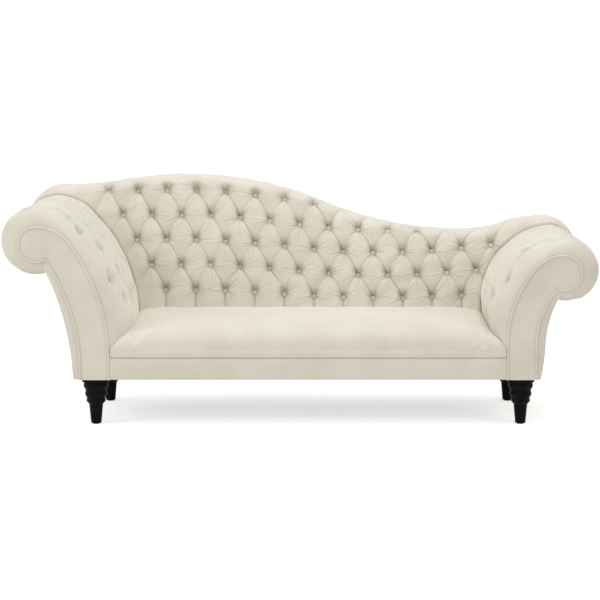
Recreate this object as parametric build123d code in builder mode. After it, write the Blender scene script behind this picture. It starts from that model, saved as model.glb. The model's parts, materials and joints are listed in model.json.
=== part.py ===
from build123d import *
import os
from dataclasses import dataclass
from math import acos, atan2, cos, degrees, hypot, pi, radians, sin, sqrt

os.makedirs("parts", exist_ok=True)

# Overall size. X runs to the right, Y to the back and Z up, with the floor at zero.
WIDTH = 2400.0  # outside of one scroll to outside of the other
DEPTH = 890.0  # front of the facing welts to the rear of the top roll
LEG_HEIGHT = 186.0  # floor to the underside of the body
FIT = 0.3  # gap left between neighbouring soft pieces
FRONT = -DEPTH / 2

# Back: a leaning plane with a tufted pad in front and a wrapped top roll
LEAN = 15.0  # degrees from upright
PEAK_X, PEAK_Z = -500.0, 972.0  # highest point of the top line
DIP_X, DIP_Z = 695.0, 737.0  # lowest point of the top line
LEFT_END_X, LEFT_END_Z, LEFT_END_R = -1030.0, 928.0, 165.0  # rounded left end of the back
RIGHT_END_X, RIGHT_END_Z, RIGHT_END_R = 1050.0, 794.0, 143.0  # rounded right end of the back
CRESTS = ((LEFT_END_X, LEFT_END_Z), (PEAK_X, PEAK_Z), (DIP_X, DIP_Z), (RIGHT_END_X, RIGHT_END_Z))
END_HOLLOW = 0.97  # share of an end's distance at which that hollow lies
END_BLEND = 50.0  # hollow where a rounded end runs into the straight side
BACK_PAD = 100.0  # frame face to the crown of the tufts
ROLL_ROUND = 60.0  # front rounding of the top roll
CAP_WALL = 35.0  # padding over the top of the frame
CAP_ROUND = 28.0  # rear rounding of the top roll
BACK_FRAME = 30.0  # thickness of the back frame boards
OUTSIDE_BACK = 15.0  # thickness of the padded rear panel
WEB = 2.0  # thickness of the elastic webbing
WEB_WIDTH = 60.0
WEB_STRAPS = 4
BACK_FOAM = 46.0
TOP_RAIL = 80.0  # height of the serpentine top rail
POST = 70.0  # width of the uprights in the back frame
UPRIGHTS = 3
END_BOARD_IN = 60.0  # end boards reach this far past the inside arms
WEB_PITCH = 75.0
BACK_PAD_BOTTOM = 112.0  # lower edge of the back pad, up the leaning plane

# Seat
RAIL = 28.0  # thickness of the seat rails
RAIL_TOP = 270.0  # height of the upper edge of the seat rails
DUST_COVER = 1.5
BORDER = 9.0  # padded front border
BORDER_PROUD = 4.0  # front of the welt to the front of the border
STRETCHER = 40.0
CORNER_BLOCK = 80.0
SEAM_CORD = 5.0  # diameter of the cord between border and seat
SEAT_CROWN = 412.0  # height of the seat at its middle
SEAT_REAR = 396.0  # height of the seat where it meets the back
SEAT_CROWN_Y = -60.0
SEAT_FACE = 290.0  # height at which the front starts to round over
SEAT_NOSE = 375.0  # height where the front rounding ends
NOSE_REACH = 0.81  # depth of the front rounding for its height
FACE_SHARE = 0.1  # share of an end's fall taken by the upright face
CROWN_SHARE = 0.8  # share of an end's fall taken by the crown
SEAT_SHOULDER = 270.0  # distance over which the seat falls to its ends
SEAT_STATIONS = 12
SEAT_END_DROP = 52.0  # how far the seat falls at the facings
SEAT_FOAM_DROP = 16.0  # how far its foam falls beside the arms
SEAT_COVER = 14.0  # wadding and velvet over the seat foam
FELT = 4.0
SPRINGS = 9
SPRING_WIRE = 4.0
SPRING_LOOPS = 9
SPRING_SWING = 22.0  # half width of a spring
SPRING_LEAD = 18.0  # straight ends of a spring
CLIP_X, CLIP_Y, CLIP_Z = 20.0, 16.0, 7.0

# Arms
FACING_WIDTH = 115.0  # width of the facing at its foot
LOBE_R = 70.0  # scroll end of the facing
FACING = 10.0  # thickness of the padded facing
FACING_PROUD = 2.0  # front of the welt to the front of the facing
WELT = 9.0  # diameter of the welt cord
WELT_SIDES = 6
WELT_TUCK = 0.5  # gap between the welt and the facing
BOARD = 18.0  # plywood scroll boards
SKIN = 4.0  # bent hardboard over the boards
ARM_FOAM = 18.0
ARM_FOAM_SETBACK = 45.0  # foam starts this far behind the roll's front
ARM_PAD_BOTTOM = 292.0
ARM_ROUND = 50.0  # front rounding of the arm roll
ROUND_STEPS = 3  # facets of a rounded edge
ROLL_TUCK = -150.0  # degrees at which the roll's cover tucks under
OUTSIDE_ARM = 27.0  # padded outside arm panel
OUTSIDE_ROUND = 18.0
FOOT_RAIL = 45.0  # height of the rail that carries the legs
BATTEN = 36.0

# Diamond tufting
TUFT_PITCH = 128.0  # between buttons of one row
ROW_PITCH = 110.0  # between rows on the back
FIRST_ROW_Z = 482.0  # height of the lowest row at the left
FIRST_BUTTON_X = -842.0  # first button of the top row
ROW_COUNTS = (8, 11, 13, 12, 11)  # buttons per row, from the top
ROW_SAG = 35.0  # how far the lowest row sags
ROW_SAG_STEP = 11.0  # extra sag of each row above it
SAG_X, SAG_REACH = 350.0, 850.0  # middle and half length of the sag
TUFT_DEPTH = 34.0  # crown to button on the back
CREASE_DEPTH = 21.0
CREASE_GAP = 15.0  # a crease stops this far from the middle of a button
MOST_TILT = 0.8  # sine of the steepest button on the top roll
TILT_EASE = 0.4  # share by which such a button is less deep
CREASE_WIDTH = 40.0  # half width of a crease
DIMPLE_R = 40.0
ARM_ROW_PITCH = 115.0
ARM_TUFT_DEPTH = 24.0
ARM_CREASE_DEPTH = 14.0
ARM_CREASE_WIDTH = 30.0
ARM_DIMPLE_R = 30.0
ARM_CREASE_LIFT = 5.0  # creases on an arm start this far above the crown, as straight lines on a bend
ARM_FIRST_COLUMN = 78  # first column of buttons behind the facing
ARM_LAST_GAP = 45.0  # least distance from an arm button to the back's face
BUTTON_R = 11.0
BUTTON_RISE = 5.0
BUTTON_SIDES = 6
DIMPLE_SIDES = 6
BUTTON_ROOM = 2.0  # dimple floor around a button
BUTTON_TAPER = 25.0
CUT_OVER = 20.0  # cuts start this far above the crown

# Legs
LEG_FRONT_Y = -385.0
LEG_REAR_Y = 165.0
GLIDE = 4.0
GLIDE_R = 14.0
LEG_FOOT_R, LEG_NECK_R = 21.0, 28.0
LEG_TAPER = 80.0  # height of the tapered lower part
LEG_RINGS = ((39.0, 37.0, 26.0), (45.0, 42.0, 32.0), (51.0, 48.0, 34.0))  # belly and groove radii, height
LEG_COLLAR_R = 56.0
BOLT_R = 5.0
BOLT_IN_LEG = 40.0
BOLT_IN_RAIL = 32.0
BOLT_ROOM = 0.2

SIN_LEAN = sin(radians(LEAN))
COS_LEAN = cos(radians(LEAN))
CAP_REAR = BACK_FRAME + OUTSIDE_BACK
FRAME_BOTTOM = LEG_HEIGHT + DUST_COVER


def top_v(z):
    """Distance up the leaning back of a top roll whose crest stands at height z."""
    crest = LEG_HEIGHT + ROLL_ROUND + (BACK_PAD - ROLL_ROUND) * SIN_LEAN
    return (z - crest) / COS_LEAN + ROLL_ROUND


def up_v(z, out=0.0):
    """Distance up the leaning back of a point at height z and at a distance out from its plane."""
    return (z - LEG_HEIGHT - out * SIN_LEAN) / COS_LEAN


BACK_FOOT_Y = DEPTH / 2 - (
    (top_v(PEAK_Z) - CAP_ROUND) * SIN_LEAN + (CAP_REAR - CAP_ROUND) * COS_LEAN + CAP_ROUND
)
BACK = Plane(origin=(0, BACK_FOOT_Y, LEG_HEIGHT), x_dir=(1, 0, 0), z_dir=(0, -COS_LEAN, SIN_LEAN))
BODY_FLOOR = Plane.XY.offset(LEG_HEIGHT)
FRAME_FLOOR = Plane.XY.offset(FRAME_BOTTOM)
PAD_FLOOR = Plane.XY.offset(ARM_PAD_BOTTOM)


@dataclass(frozen=True)
class Arm:
    """One scroll arm seen from the front, with u measured outwards from the middle and z up."""

    name: str
    side: int
    base: float  # inner edge of the facing at its foot
    straight: float  # height to which that edge runs upright
    shoulder: float  # radius of the facing's shoulder
    lobe_u: float
    lobe_z: float
    bow: float  # radius of the facing's outer edge
    bow_from: float  # height at which the outer edge starts to bow
    roll_r: float  # padded scroll
    roll_z: float
    pad: float  # facing edge to the crown of the inside arm at its foot
    pad_straight: float  # height to which the inside arm runs upright
    pad_shoulder: float
    first_row: float  # lowest row of buttons, along the pad from there
    rows: int

    @property
    def outer(self):
        """Outer edge of the facing at its foot."""
        return self.base + FACING_WIDTH

    @property
    def middle(self):
        """Middle of the facing at its foot, where the legs stand."""
        return self.base + FACING_WIDTH / 2

    @property
    def lobe_top(self):
        """Highest point of the facing."""
        return (self.lobe_u, self.lobe_z + LOBE_R)

    @property
    def roll_u(self):
        """Middle of the padded scroll."""
        return WIDTH / 2 - self.roll_r

    @property
    def roll_top(self):
        """Highest point of the padded scroll."""
        return (self.roll_u, self.roll_z + self.roll_r)

    def plane(self, y):
        """Front view plane of this arm at a depth y."""
        return Plane(origin=(0, y, 0), x_dir=(self.side, 0, 0), z_dir=(0, -self.side, 0))

    def back(self, length):
        """Extrusion amount that runs towards the rear."""
        return -self.side * length

    def outer_edge(self, z, outward):
        """Where the facing's outer edge, moved outwards, stands at height z."""
        return self.outer + self.bow - sqrt((self.bow - outward) ** 2 - (z - self.bow_from) ** 2)


LEFT = Arm(
    name="left", side=-1, base=770.0, straight=260.0, shoulder=170.0, lobe_u=1057.0, lobe_z=732.0,
    bow=799.0, bow_from=230.0, roll_r=135.0, roll_z=742.0, pad=66.0, pad_straight=334.0,
    pad_shoulder=208.0, first_row=165.0, rows=7,
)
RIGHT = Arm(
    name="right", side=1, base=834.0, straight=330.0, shoulder=150.0, lobe_u=1059.0, lobe_z=618.0,
    bow=344.0, bow_from=330.0, roll_r=125.0, roll_z=625.0, pad=56.0, pad_straight=424.0,
    pad_shoulder=226.0, first_row=86.0, rows=5,
)
ARMS = (LEFT, RIGHT)
ROLL_FRONT = FRONT + WELT + FIT
BOARD_FRONT = FRONT + FACING_PROUD + FACING
RAIL_FRONT = FRONT + BORDER_PROUD + BORDER
RAIL_BACK = RAIL_FRONT + RAIL
SEAT_FRONT = FRONT + BORDER_PROUD
SEAT_BOTTOM = RAIL_TOP + SPRING_WIRE + FELT + FIT
BORDER_TOP = SEAT_BOTTOM - FIT - SEAM_CORD
SEAT_LEFT, SEAT_RIGHT = -LEFT.base, RIGHT.base
SEAT_SPAN = SEAT_RIGHT - SEAT_LEFT
SEAT_MIDDLE = (SEAT_LEFT + SEAT_RIGHT) / 2


def bend_of(foot, top, shoulder):
    """Large arc that rises upright from foot and runs into a shoulder with a level top.

    Returns its radius, its centre, and its sweep in radians.
    """
    across = top[0] - foot[0]
    rise = top[1] - foot[1]
    radius = (across**2 + rise**2 - 2 * rise * shoulder) / (2 * (across - shoulder))
    centre = (foot[0] + radius, foot[1])
    sweep = atan2(top[1] - shoulder - centre[1], centre[0] - top[0])
    return radius, centre, sweep


def draw_bend(foot, top, shoulder, grow):
    """Draw that edge, moved away from the arm's core by grow."""
    radius, centre, sweep = bend_of(foot, top, shoulder)
    reach = radius + grow
    joint = (centre[0] - reach * cos(sweep), centre[1] + reach * sin(sweep))
    rise = TangentArc((foot[0] - grow, foot[1]), joint, tangent=(0, 1))
    TangentArc(joint, (top[0], top[1] + grow), tangent=rise % 1)


def scroll_face(arm, y, grow=0.0, outward=0.0):
    """Facing outline, its inner edge and lobe moved by grow and its outer edge by outward."""
    foot = (arm.base, arm.straight)
    high = (arm.outer_edge(arm.lobe_z, outward), arm.lobe_z)
    low = (arm.outer + outward, arm.bow_from)
    with BuildSketch(arm.plane(y)) as face:
        with BuildLine():
            draw_bend(foot, arm.lobe_top, arm.shoulder, grow)
            Line((arm.lobe_top[0], arm.lobe_top[1] + grow), high)
            TangentArc(low, high, tangent=(0, 1))
            Polyline(
                low,
                (low[0], LEG_HEIGHT),
                (arm.base - grow, LEG_HEIGHT),
                (arm.base - grow, arm.straight),
            )
        make_face()
        with Locations((arm.lobe_u, arm.lobe_z)):
            Circle(LOBE_R + grow)
    return face.sketch


def roll_face(arm, y, grow=0.0):
    """Outline of the padded arm, closed along a line that lies inside the arm's frame."""
    inner = arm.base - arm.pad
    foot = (inner, arm.pad_straight)
    centre = (arm.roll_u, arm.roll_z)
    radius = arm.roll_r + grow
    half = (ROLL_TUCK - 90) / 2
    tuck = (
        centre[0] + radius * cos(radians(ROLL_TUCK)),
        centre[1] + radius * sin(radians(ROLL_TUCK)),
    )
    with BuildSketch(arm.plane(y)) as face:
        with BuildLine():
            draw_bend(foot, arm.roll_top, arm.pad_shoulder, grow)
            CenterArc(centre, radius, 90, half)
            CenterArc(centre, radius, 90 + half, half)
            Polyline(
                tuck,
                (arm.middle, ARM_PAD_BOTTOM),
                (inner - grow, ARM_PAD_BOTTOM),
                (inner - grow, arm.pad_straight),
            )
        make_face()
    return face.sketch


def pad_point(arm, run):
    """Point on the padded inside arm, and the way it faces, at a run along the pad."""
    foot = (arm.base - arm.pad, arm.pad_straight)
    radius, centre, sweep = bend_of(foot, arm.roll_top, arm.pad_shoulder)
    shoulder_run = radius * sweep
    roll_run = shoulder_run + arm.pad_shoulder * (pi / 2 - sweep)
    if run < shoulder_run:
        turn = run / radius
    elif run < roll_run:
        turn = sweep + (run - shoulder_run) / arm.pad_shoulder
        radius = arm.pad_shoulder
        centre = (arm.roll_u, arm.roll_top[1] - arm.pad_shoulder)
    else:
        turn = pi / 2 + (run - roll_run) / arm.roll_r
        radius = arm.roll_r
        centre = (arm.roll_u, arm.roll_z)
    facing = (-cos(turn), sin(turn))
    return (centre[0] + radius * facing[0], centre[1] + radius * facing[1]), facing


def rounding(radius):
    """Steps of a quarter round: how far each lies in from the full outline and behind the front."""
    angles = [i * pi / 2 / ROUND_STEPS for i in range(ROUND_STEPS + 1)]
    return [(radius * (1 - sin(a)), radius * (1 - cos(a))) for a in angles]


def rounded_roll(arm, grow=0.0):
    """Whole padded arm with its rounded front, out to the back's plane, grown by a clearance."""
    with BuildPart() as roll:
        steps = rounding(ARM_ROUND)
        faces = [roll_face(arm, ROLL_FRONT - grow + set_back, grow - inset) for inset, set_back in steps]
        loft(faces, ruled=True)
        extrude(roll_face(arm, ROLL_FRONT - grow + ARM_ROUND, grow), amount=arm.back(DEPTH))
        split(bisect_by=BACK.offset(FIT - grow), keep=Keep.TOP)
    return roll.part


def rounded_back():
    """Whole padded back with its rounded ends and top."""
    with BuildPart() as back:
        rear = [back_face(set_back - CAP_REAR, inset) for inset, set_back in rounding(CAP_ROUND)]
        loft(rear, ruled=True)
        extrude(back_face(CAP_ROUND - CAP_REAR), amount=CAP_REAR - CAP_ROUND + BACK_PAD - ROLL_ROUND)
        front = [back_face(BACK_PAD - set_back, inset) for inset, set_back in rounding(ROLL_ROUND)]
        loft(front, ruled=True)
    return back.part


def inset_share(start, end, inset):
    """Share of a double curve taken by its first arc after the outline is moved inwards."""
    across = end[0] - start[0]
    rise = abs(end[1] - start[1])
    radii = (across**2 + rise**2) / (2 * rise)
    hollow_first = 1 if end[1] > start[1] else -1
    return 0.5 + hollow_first * inset / radii


def draw_top_line(inset):
    """Draw the serpentine top of the back, moved inwards by inset, and return its two ends."""
    points = [(x, top_v(z) - inset) for x, z in CRESTS]
    for start, end in zip(points, points[1:]):
        share = inset_share(start, end, inset)
        middle = (start[0] + (end[0] - start[0]) * share, start[1] + (end[1] - start[1]) * share)
        first = TangentArc(start, middle, tangent=(1, 0))
        TangentArc(middle, end, tangent=first % 1)
    return points[0], points[-1]


def back_face(out, inset=0.0):
    """Outline of the back on a plane at a distance out from the frame face, moved inwards by inset."""
    sides = []
    for arm in ARMS:
        foot_u = arm.side * (arm.outer + OUTSIDE_ARM - inset)
        high_u = arm.side * (arm.outer_edge(arm.lobe_z, OUTSIDE_ARM) - inset)
        sides.append(((foot_u, 0), (foot_u, up_v(arm.bow_from)), (high_u, up_v(arm.lobe_z))))
    (left_foot, left_bow, left_high), (right_foot, right_bow, right_high) = sides
    with BuildSketch(BACK.offset(out)) as face:
        with BuildLine():
            left_end, right_end = draw_top_line(inset)
            Line(right_end, right_high)
            TangentArc(right_bow, right_high, tangent=(0, 1))
            Polyline(right_bow, right_foot, left_foot, left_bow)
            TangentArc(left_bow, left_high, tangent=(0, 1))
            Line(left_high, left_end)
        make_face()
        for end, radius in ((left_end, LEFT_END_R), (right_end, RIGHT_END_R)):
            with Locations((end[0], end[1] - radius + inset)):
                Circle(radius - inset)
        for end, radius in ((left_end, LEFT_END_R), (right_end, RIGHT_END_R)):
            below = (end[0] * END_HOLLOW, end[1] + inset - 2 * radius)
            hollow = face.vertices().sort_by_distance(below)[0]
            fillet(hollow, END_BLEND + inset)
    return face.sketch


def below_top_line(out, inset):
    """Face under the serpentine top line, closed by straight sides."""
    with BuildSketch(BACK.offset(out)) as face:
        with BuildLine():
            left_end, right_end = draw_top_line(inset)
            Polyline(right_end, (right_end[0], 0), (left_end[0], 0), left_end)
        make_face()
    return face.sketch


def save(piece, name):
    """Label one piece and write it."""
    piece.label = name
    export_step(piece, f"parts/{name}.step")


def cut_tufts(edges, buttons, run, width, depth, dimple_r, tuft_depth):
    """Cut creases and button dimples into the pad that is being built.

    Each edge is the start and end of a crease and the way the pad faces there.
    """
    sections = []
    for start, end, facing in edges:
        along = (end - start).normalized()
        origin = (start + end) * 0.5 - along * (run / 2)
        sections.append(Plane(origin=origin, x_dir=facing.cross(along), z_dir=along))
    flare = width * (1 + CUT_OVER / depth)
    with BuildSketch(*sections) as crease:
        Polygon((-flare, CUT_OVER), (flare, CUT_OVER), (0, -depth), align=None)
    extrude(crease.sketch, amount=run, mode=Mode.SUBTRACT)
    widen = degrees(atan2(dimple_r - BUTTON_R - BUTTON_ROOM, tuft_depth))
    with BuildSketch(*buttons) as dimple:
        RegularPolygon(BUTTON_R + BUTTON_ROOM, DIMPLE_SIDES)
    extrude(dimple.sketch, amount=tuft_depth + CUT_OVER, taper=-widen, mode=Mode.SUBTRACT)


def button_set(planes):
    """Covered buttons, one on each plane."""
    with BuildPart() as buttons:
        with BuildSketch(*planes):
            RegularPolygon(BUTTON_R, BUTTON_SIDES)
        extrude(amount=BUTTON_RISE, taper=BUTTON_TAPER)
    return buttons.part


def sag(x):
    """Share of a row's sag at x."""
    away = min(abs(x - SAG_X) / SAG_REACH, 1)
    return (1 + cos(pi * away)) / 2


def crest(x):
    """Distance up the leaning back of its top line at x, taken as half waves between level points."""
    for (x_0, z_0), (x_1, z_1) in zip(CRESTS, CRESTS[1:]):
        if x_0 <= x <= x_1:
            share = (1 - cos(pi * (x - x_0) / (x_1 - x_0))) / 2
            return top_v(z_0 + (z_1 - z_0) * share)


def back_spot(x, v):
    """Point on the crown of the back pad, and the way it faces there, at x and a distance v up."""
    v = min(v, crest(x) - ROLL_ROUND * (1 - MOST_TILT))
    tilt = max(0, 1 - (crest(x) - v) / ROLL_ROUND)
    level = sqrt(1 - tilt**2)
    out = BACK_PAD - ROLL_ROUND * (1 - level)
    return BACK.from_local_coords((x, v, out)), BACK.y_dir * tilt + BACK.z_dir * level


def back_lattice():
    """Buttons of the back by row and half column, as points on the crown and the way it faces."""
    spots = {}
    for row, count in enumerate(ROW_COUNTS):
        level = len(ROW_COUNTS) - 1 - row
        for step in range(count):
            column = row + 2 * step
            x = FIRST_BUTTON_X + column * TUFT_PITCH / 2
            drop = (ROW_SAG + ROW_SAG_STEP * level) * sag(x)
            v = up_v(FIRST_ROW_Z, BACK_PAD) + level * ROW_PITCH - drop
            spots[row, column] = back_spot(x, v)
    return spots


def arm_lattice(arm):
    """Buttons of one arm by row and column, as points on the crown of the pad and the way it faces."""
    spots = {}
    for row in range(arm.rows):
        (u, z), (face_u, face_z) = pad_point(arm, arm.first_row + row * ARM_ROW_PITCH)
        back_y = BACK.from_local_coords((0, up_v(z, BACK_PAD), BACK_PAD)).Y
        column = 1 - row % 2
        while FRONT + ARM_FIRST_COLUMN + column * TUFT_PITCH / 2 < back_y - ARM_LAST_GAP:
            y = FRONT + ARM_FIRST_COLUMN + column * TUFT_PITCH / 2
            spots[row, column] = (Vector(arm.side * u, y, z), Vector(arm.side * face_u, 0, face_z))
            column += 2
    return spots


def lattice_edges(spots, lift=0.0):
    """Creases between neighbouring buttons, raised by lift."""
    edges = []
    for (row, column), (spot, facing) in spots.items():
        for beside in (column - 1, column + 1):
            if (row + 1, beside) in spots:
                other, other_facing = spots[row + 1, beside]
                mean = (facing + other_facing).normalized()
                edges.append((spot + mean * lift, other + mean * lift, mean))
    return edges


def arm_room(arm):
    """Space that an arm takes out of the back pad."""
    with BuildPart() as room:
        extrude(roll_face(arm, FRONT, FIT), amount=arm.back(DEPTH))
        extrude(scroll_face(arm, FRONT, FIT, OUTSIDE_ARM + FIT), amount=arm.back(DEPTH))
        with BuildSketch(arm.plane(FRONT)) as below:
            with Locations((arm.middle, 0)):
                Rectangle(WIDTH / 2, arm.roll_z, align=(Align.MIN, Align.MIN))
        extrude(below.sketch, amount=arm.back(DEPTH))
        split(bisect_by=BACK, keep=Keep.TOP)
    return room.part


def notch(arm):
    """Angle on the lobe, in degrees, at which the facing's outer edge leaves it."""
    across = arm.outer + arm.bow - arm.lobe_u
    drop = arm.bow_from - arm.lobe_z
    apart = hypot(across, drop)
    along = (LOBE_R**2 - arm.bow**2 + apart**2) / (2 * apart)
    return degrees(atan2(drop, across) - acos(along / LOBE_R))


def welt_edges(arm):
    """Inner and outer edge of the facing as paths for its welt cord."""
    turn = (notch(arm) - 90) / 2
    end = radians(notch(arm))
    lobe = (arm.lobe_u, arm.lobe_z)
    with BuildLine() as inner:
        Line((arm.base, LEG_HEIGHT), (arm.base, arm.straight))
        draw_bend((arm.base, arm.straight), arm.lobe_top, arm.shoulder, 0)
        CenterArc(lobe, LOBE_R, 90, turn)
        CenterArc(lobe, LOBE_R, 90 + turn, turn)
    with BuildLine() as outer:
        Line((arm.outer, LEG_HEIGHT), (arm.outer, arm.bow_from))
        meeting = (lobe[0] + LOBE_R * cos(end), lobe[1] + LOBE_R * sin(end))
        TangentArc((arm.outer, arm.bow_from), meeting, tangent=(0, 1))
    place = arm.plane(FRONT + WELT / 2).location
    return place * inner.line, place * outer.line


def seat_section(x, drop, inset):
    """Side profile of the seat at x, with its top lowered by drop and all of it drawn in by inset."""
    nose = SEAT_FRONT + inset
    low = SEAT_FACE - drop * FACE_SHARE
    high = SEAT_NOSE - drop - inset
    shoulder = (nose + (high - low) * NOSE_REACH, high)
    crown = (SEAT_CROWN_Y, SEAT_CROWN - drop * CROWN_SHARE - inset)
    rear = (DEPTH / 2, SEAT_REAR - drop * CROWN_SHARE - inset)
    with BuildSketch(Plane(origin=(x, 0, 0), x_dir=(0, 1, 0), z_dir=(1, 0, 0))) as section:
        with BuildLine():
            TangentArc((nose, low), shoulder, tangent=(0, 1))
            ThreePointArc(shoulder, crown, rear)
            Polyline(rear, (rear[0], SEAT_BOTTOM), (nose, SEAT_BOTTOM), (nose, low))
        make_face()
    return section.sketch


def seat_form(left, right, end_drop, inset):
    """Crowned seat between two sides, cut along the face of the back."""
    stations = []
    for i in range(SEAT_STATIONS + 1):
        x = left + (right - left) * i / SEAT_STATIONS
        near = max(0, 1 - min(x - left, right - x) / SEAT_SHOULDER)
        stations.append((x, end_drop * near**2))
    with BuildPart() as form:
        loft([seat_section(x, drop, inset) for x, drop in stations], ruled=True)
        split(bisect_by=BACK.offset(BACK_PAD + FIT), keep=Keep.TOP)
    return form.part


def rail_between(x, width, bottom, top):
    """Straight rail from the front rail to the rear rail."""
    with BuildPart() as rail:
        with BuildSketch(Plane.XY.offset(bottom)):
            with Locations((x, RAIL_BACK)):
                Rectangle(width, DEPTH, align=(Align.CENTER, Align.MIN))
        extrude(amount=top - bottom)
        split(bisect_by=BACK.offset(RAIL), keep=Keep.TOP)
    return rail.part


# Seat frame
leg_spots = [(arm.side * arm.middle, y) for arm in ARMS for y in (LEG_FRONT_Y, LEG_REAR_Y)]

with BuildPart() as front_seat_rail:
    with BuildSketch(FRAME_FLOOR):
        with Locations((SEAT_MIDDLE, RAIL_FRONT)):
            Rectangle(SEAT_SPAN, RAIL, align=(Align.CENTER, Align.MIN))
    extrude(amount=RAIL_TOP - FRAME_BOTTOM)
save(front_seat_rail.part, "front_seat_rail")

with BuildPart() as rear_seat_rail:
    with BuildSketch(BACK):
        with Locations((SEAT_MIDDLE, 0)):
            Rectangle(SEAT_SPAN, 2 * RAIL_TOP)
    extrude(amount=RAIL)
    split(bisect_by=FRAME_FLOOR, keep=Keep.TOP)
    split(bisect_by=Plane.XY.offset(RAIL_TOP), keep=Keep.BOTTOM)
save(rear_seat_rail.part, "rear_seat_rail")

for arm in ARMS:
    with BuildPart() as side_rail:
        add(rail_between(arm.side * (arm.base - RAIL / 2), RAIL, FRAME_BOTTOM, RAIL_TOP))
    save(side_rail.part, f"{arm.name}_seat_rail")

with BuildPart() as seat_stretchers:
    for share in (1 / 3, 2 / 3):
        add(rail_between(SEAT_LEFT + SEAT_SPAN * share, STRETCHER, FRAME_BOTTOM, FRAME_BOTTOM + FOOT_RAIL))
save(seat_stretchers.part, "seat_stretchers")

with BuildPart() as corner_blocks:
    for arm in ARMS:
        inside = arm.side * (arm.base - RAIL)
        reach = inside - arm.side * CORNER_BLOCK
        rear_y = BACK_FOOT_Y + RAIL_TOP * SIN_LEAN
        rear_reach = CORNER_BLOCK + RAIL + RAIL_TOP * SIN_LEAN
        with BuildSketch(FRAME_FLOOR):
            for y, towards in ((RAIL_BACK, CORNER_BLOCK), (rear_y, -rear_reach)):
                with BuildLine():
                    Polyline((inside, y), (reach, y), (inside, y + towards), close=True)
                make_face()
    extrude(amount=FOOT_RAIL)
    split(bisect_by=BACK.offset(RAIL), keep=Keep.TOP)
save(corner_blocks.part, "corner_blocks")

# Arm frames
for arm in ARMS:
    with BuildPart() as front_board:
        extrude(scroll_face(arm, BOARD_FRONT), amount=arm.back(BOARD))
    save(front_board.part, f"{arm.name}_arm_front_board")

    with BuildPart() as rear_board:
        extrude(scroll_face(arm, FRONT), amount=arm.back(DEPTH))
        split(bisect_by=BODY_FLOOR.offset(FOOT_RAIL), keep=Keep.TOP)
        split(bisect_by=BACK.offset(FIT), keep=Keep.TOP)
        split(bisect_by=BACK.offset(FIT + BOARD), keep=Keep.BOTTOM)
    save(rear_board.part, f"{arm.name}_arm_rear_board")

    with BuildPart() as foot_rail:
        with BuildSketch(BODY_FLOOR):
            with Locations((arm.side * arm.middle, BOARD_FRONT + BOARD)):
                Rectangle(FACING_WIDTH - 2 * FIT, DEPTH, align=(Align.CENTER, Align.MIN))
        extrude(amount=FOOT_RAIL)
        split(bisect_by=BACK.offset(FIT), keep=Keep.TOP)
        with BuildSketch(BODY_FLOOR):
            with Locations(*[(x, y) for x, y in leg_spots if x * arm.side > 0]):
                Circle(BOLT_R + BOLT_ROOM)
        extrude(amount=BOLT_IN_RAIL + BOLT_ROOM, mode=Mode.SUBTRACT)
    save(foot_rail.part, f"{arm.name}_arm_foot_rail")

    stem_z = (arm.straight + arm.lobe_z) / 2
    big, centre, _ = bend_of((arm.base, arm.straight), arm.lobe_top, arm.shoulder)
    stem_inner = centre[0] - sqrt(big**2 - (stem_z - centre[1]) ** 2)
    stem_u = (stem_inner + arm.outer_edge(stem_z, 0)) / 2
    with BuildPart() as battens:
        with BuildSketch(arm.plane(BOARD_FRONT + BOARD)):
            with Locations((arm.lobe_u, arm.lobe_z), (stem_u, stem_z)):
                Rectangle(BATTEN, BATTEN)
        extrude(amount=arm.back(DEPTH))
        split(bisect_by=BACK.offset(FIT + BOARD), keep=Keep.TOP)
    save(battens.part, f"{arm.name}_arm_battens")

    with BuildPart() as skin:
        extrude(scroll_face(arm, BOARD_FRONT, SKIN), amount=arm.back(DEPTH))
        extrude(scroll_face(arm, BOARD_FRONT, FIT), amount=arm.back(DEPTH), mode=Mode.SUBTRACT)
        split(bisect_by=PAD_FLOOR, keep=Keep.TOP)
        split(bisect_by=BACK.offset(FIT), keep=Keep.TOP)
    save(skin.part, f"{arm.name}_arm_skin")

# Back frame
end_board_x = {arm.name: arm.side * (arm.base - arm.pad - END_BOARD_IN) for arm in ARMS}
frame_inset = CAP_WALL + FIT

for arm in ARMS:
    with BuildPart() as end_board:
        extrude(back_face(-BACK_FRAME, frame_inset), amount=BACK_FRAME)
        outer_side = Keep.TOP if arm.side > 0 else Keep.BOTTOM
        split(bisect_by=Plane.YZ.offset(end_board_x[arm.name]), keep=outer_side)
        split(bisect_by=FRAME_FLOOR, keep=Keep.TOP)
    save(end_board.part, f"back_{arm.name}_end_board")

with BuildPart() as back_top_rail:
    extrude(below_top_line(-BACK_FRAME, frame_inset), amount=BACK_FRAME)
    extrude(below_top_line(-BACK_FRAME, frame_inset + TOP_RAIL), amount=BACK_FRAME, mode=Mode.SUBTRACT)
    split(bisect_by=Plane.YZ.offset(end_board_x["left"]), keep=Keep.TOP)
    split(bisect_by=Plane.YZ.offset(end_board_x["right"]), keep=Keep.BOTTOM)
save(back_top_rail.part, "back_top_rail")

frame_span = end_board_x["right"] - end_board_x["left"]
frame_middle = (end_board_x["right"] + end_board_x["left"]) / 2
with BuildPart() as back_bottom_rail:
    with BuildSketch(BACK):
        with Locations((frame_middle, 0)):
            Rectangle(frame_span, 2 * TOP_RAIL)
    extrude(amount=-BACK_FRAME)
    split(bisect_by=FRAME_FLOOR, keep=Keep.TOP)
save(back_bottom_rail.part, "back_bottom_rail")

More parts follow.
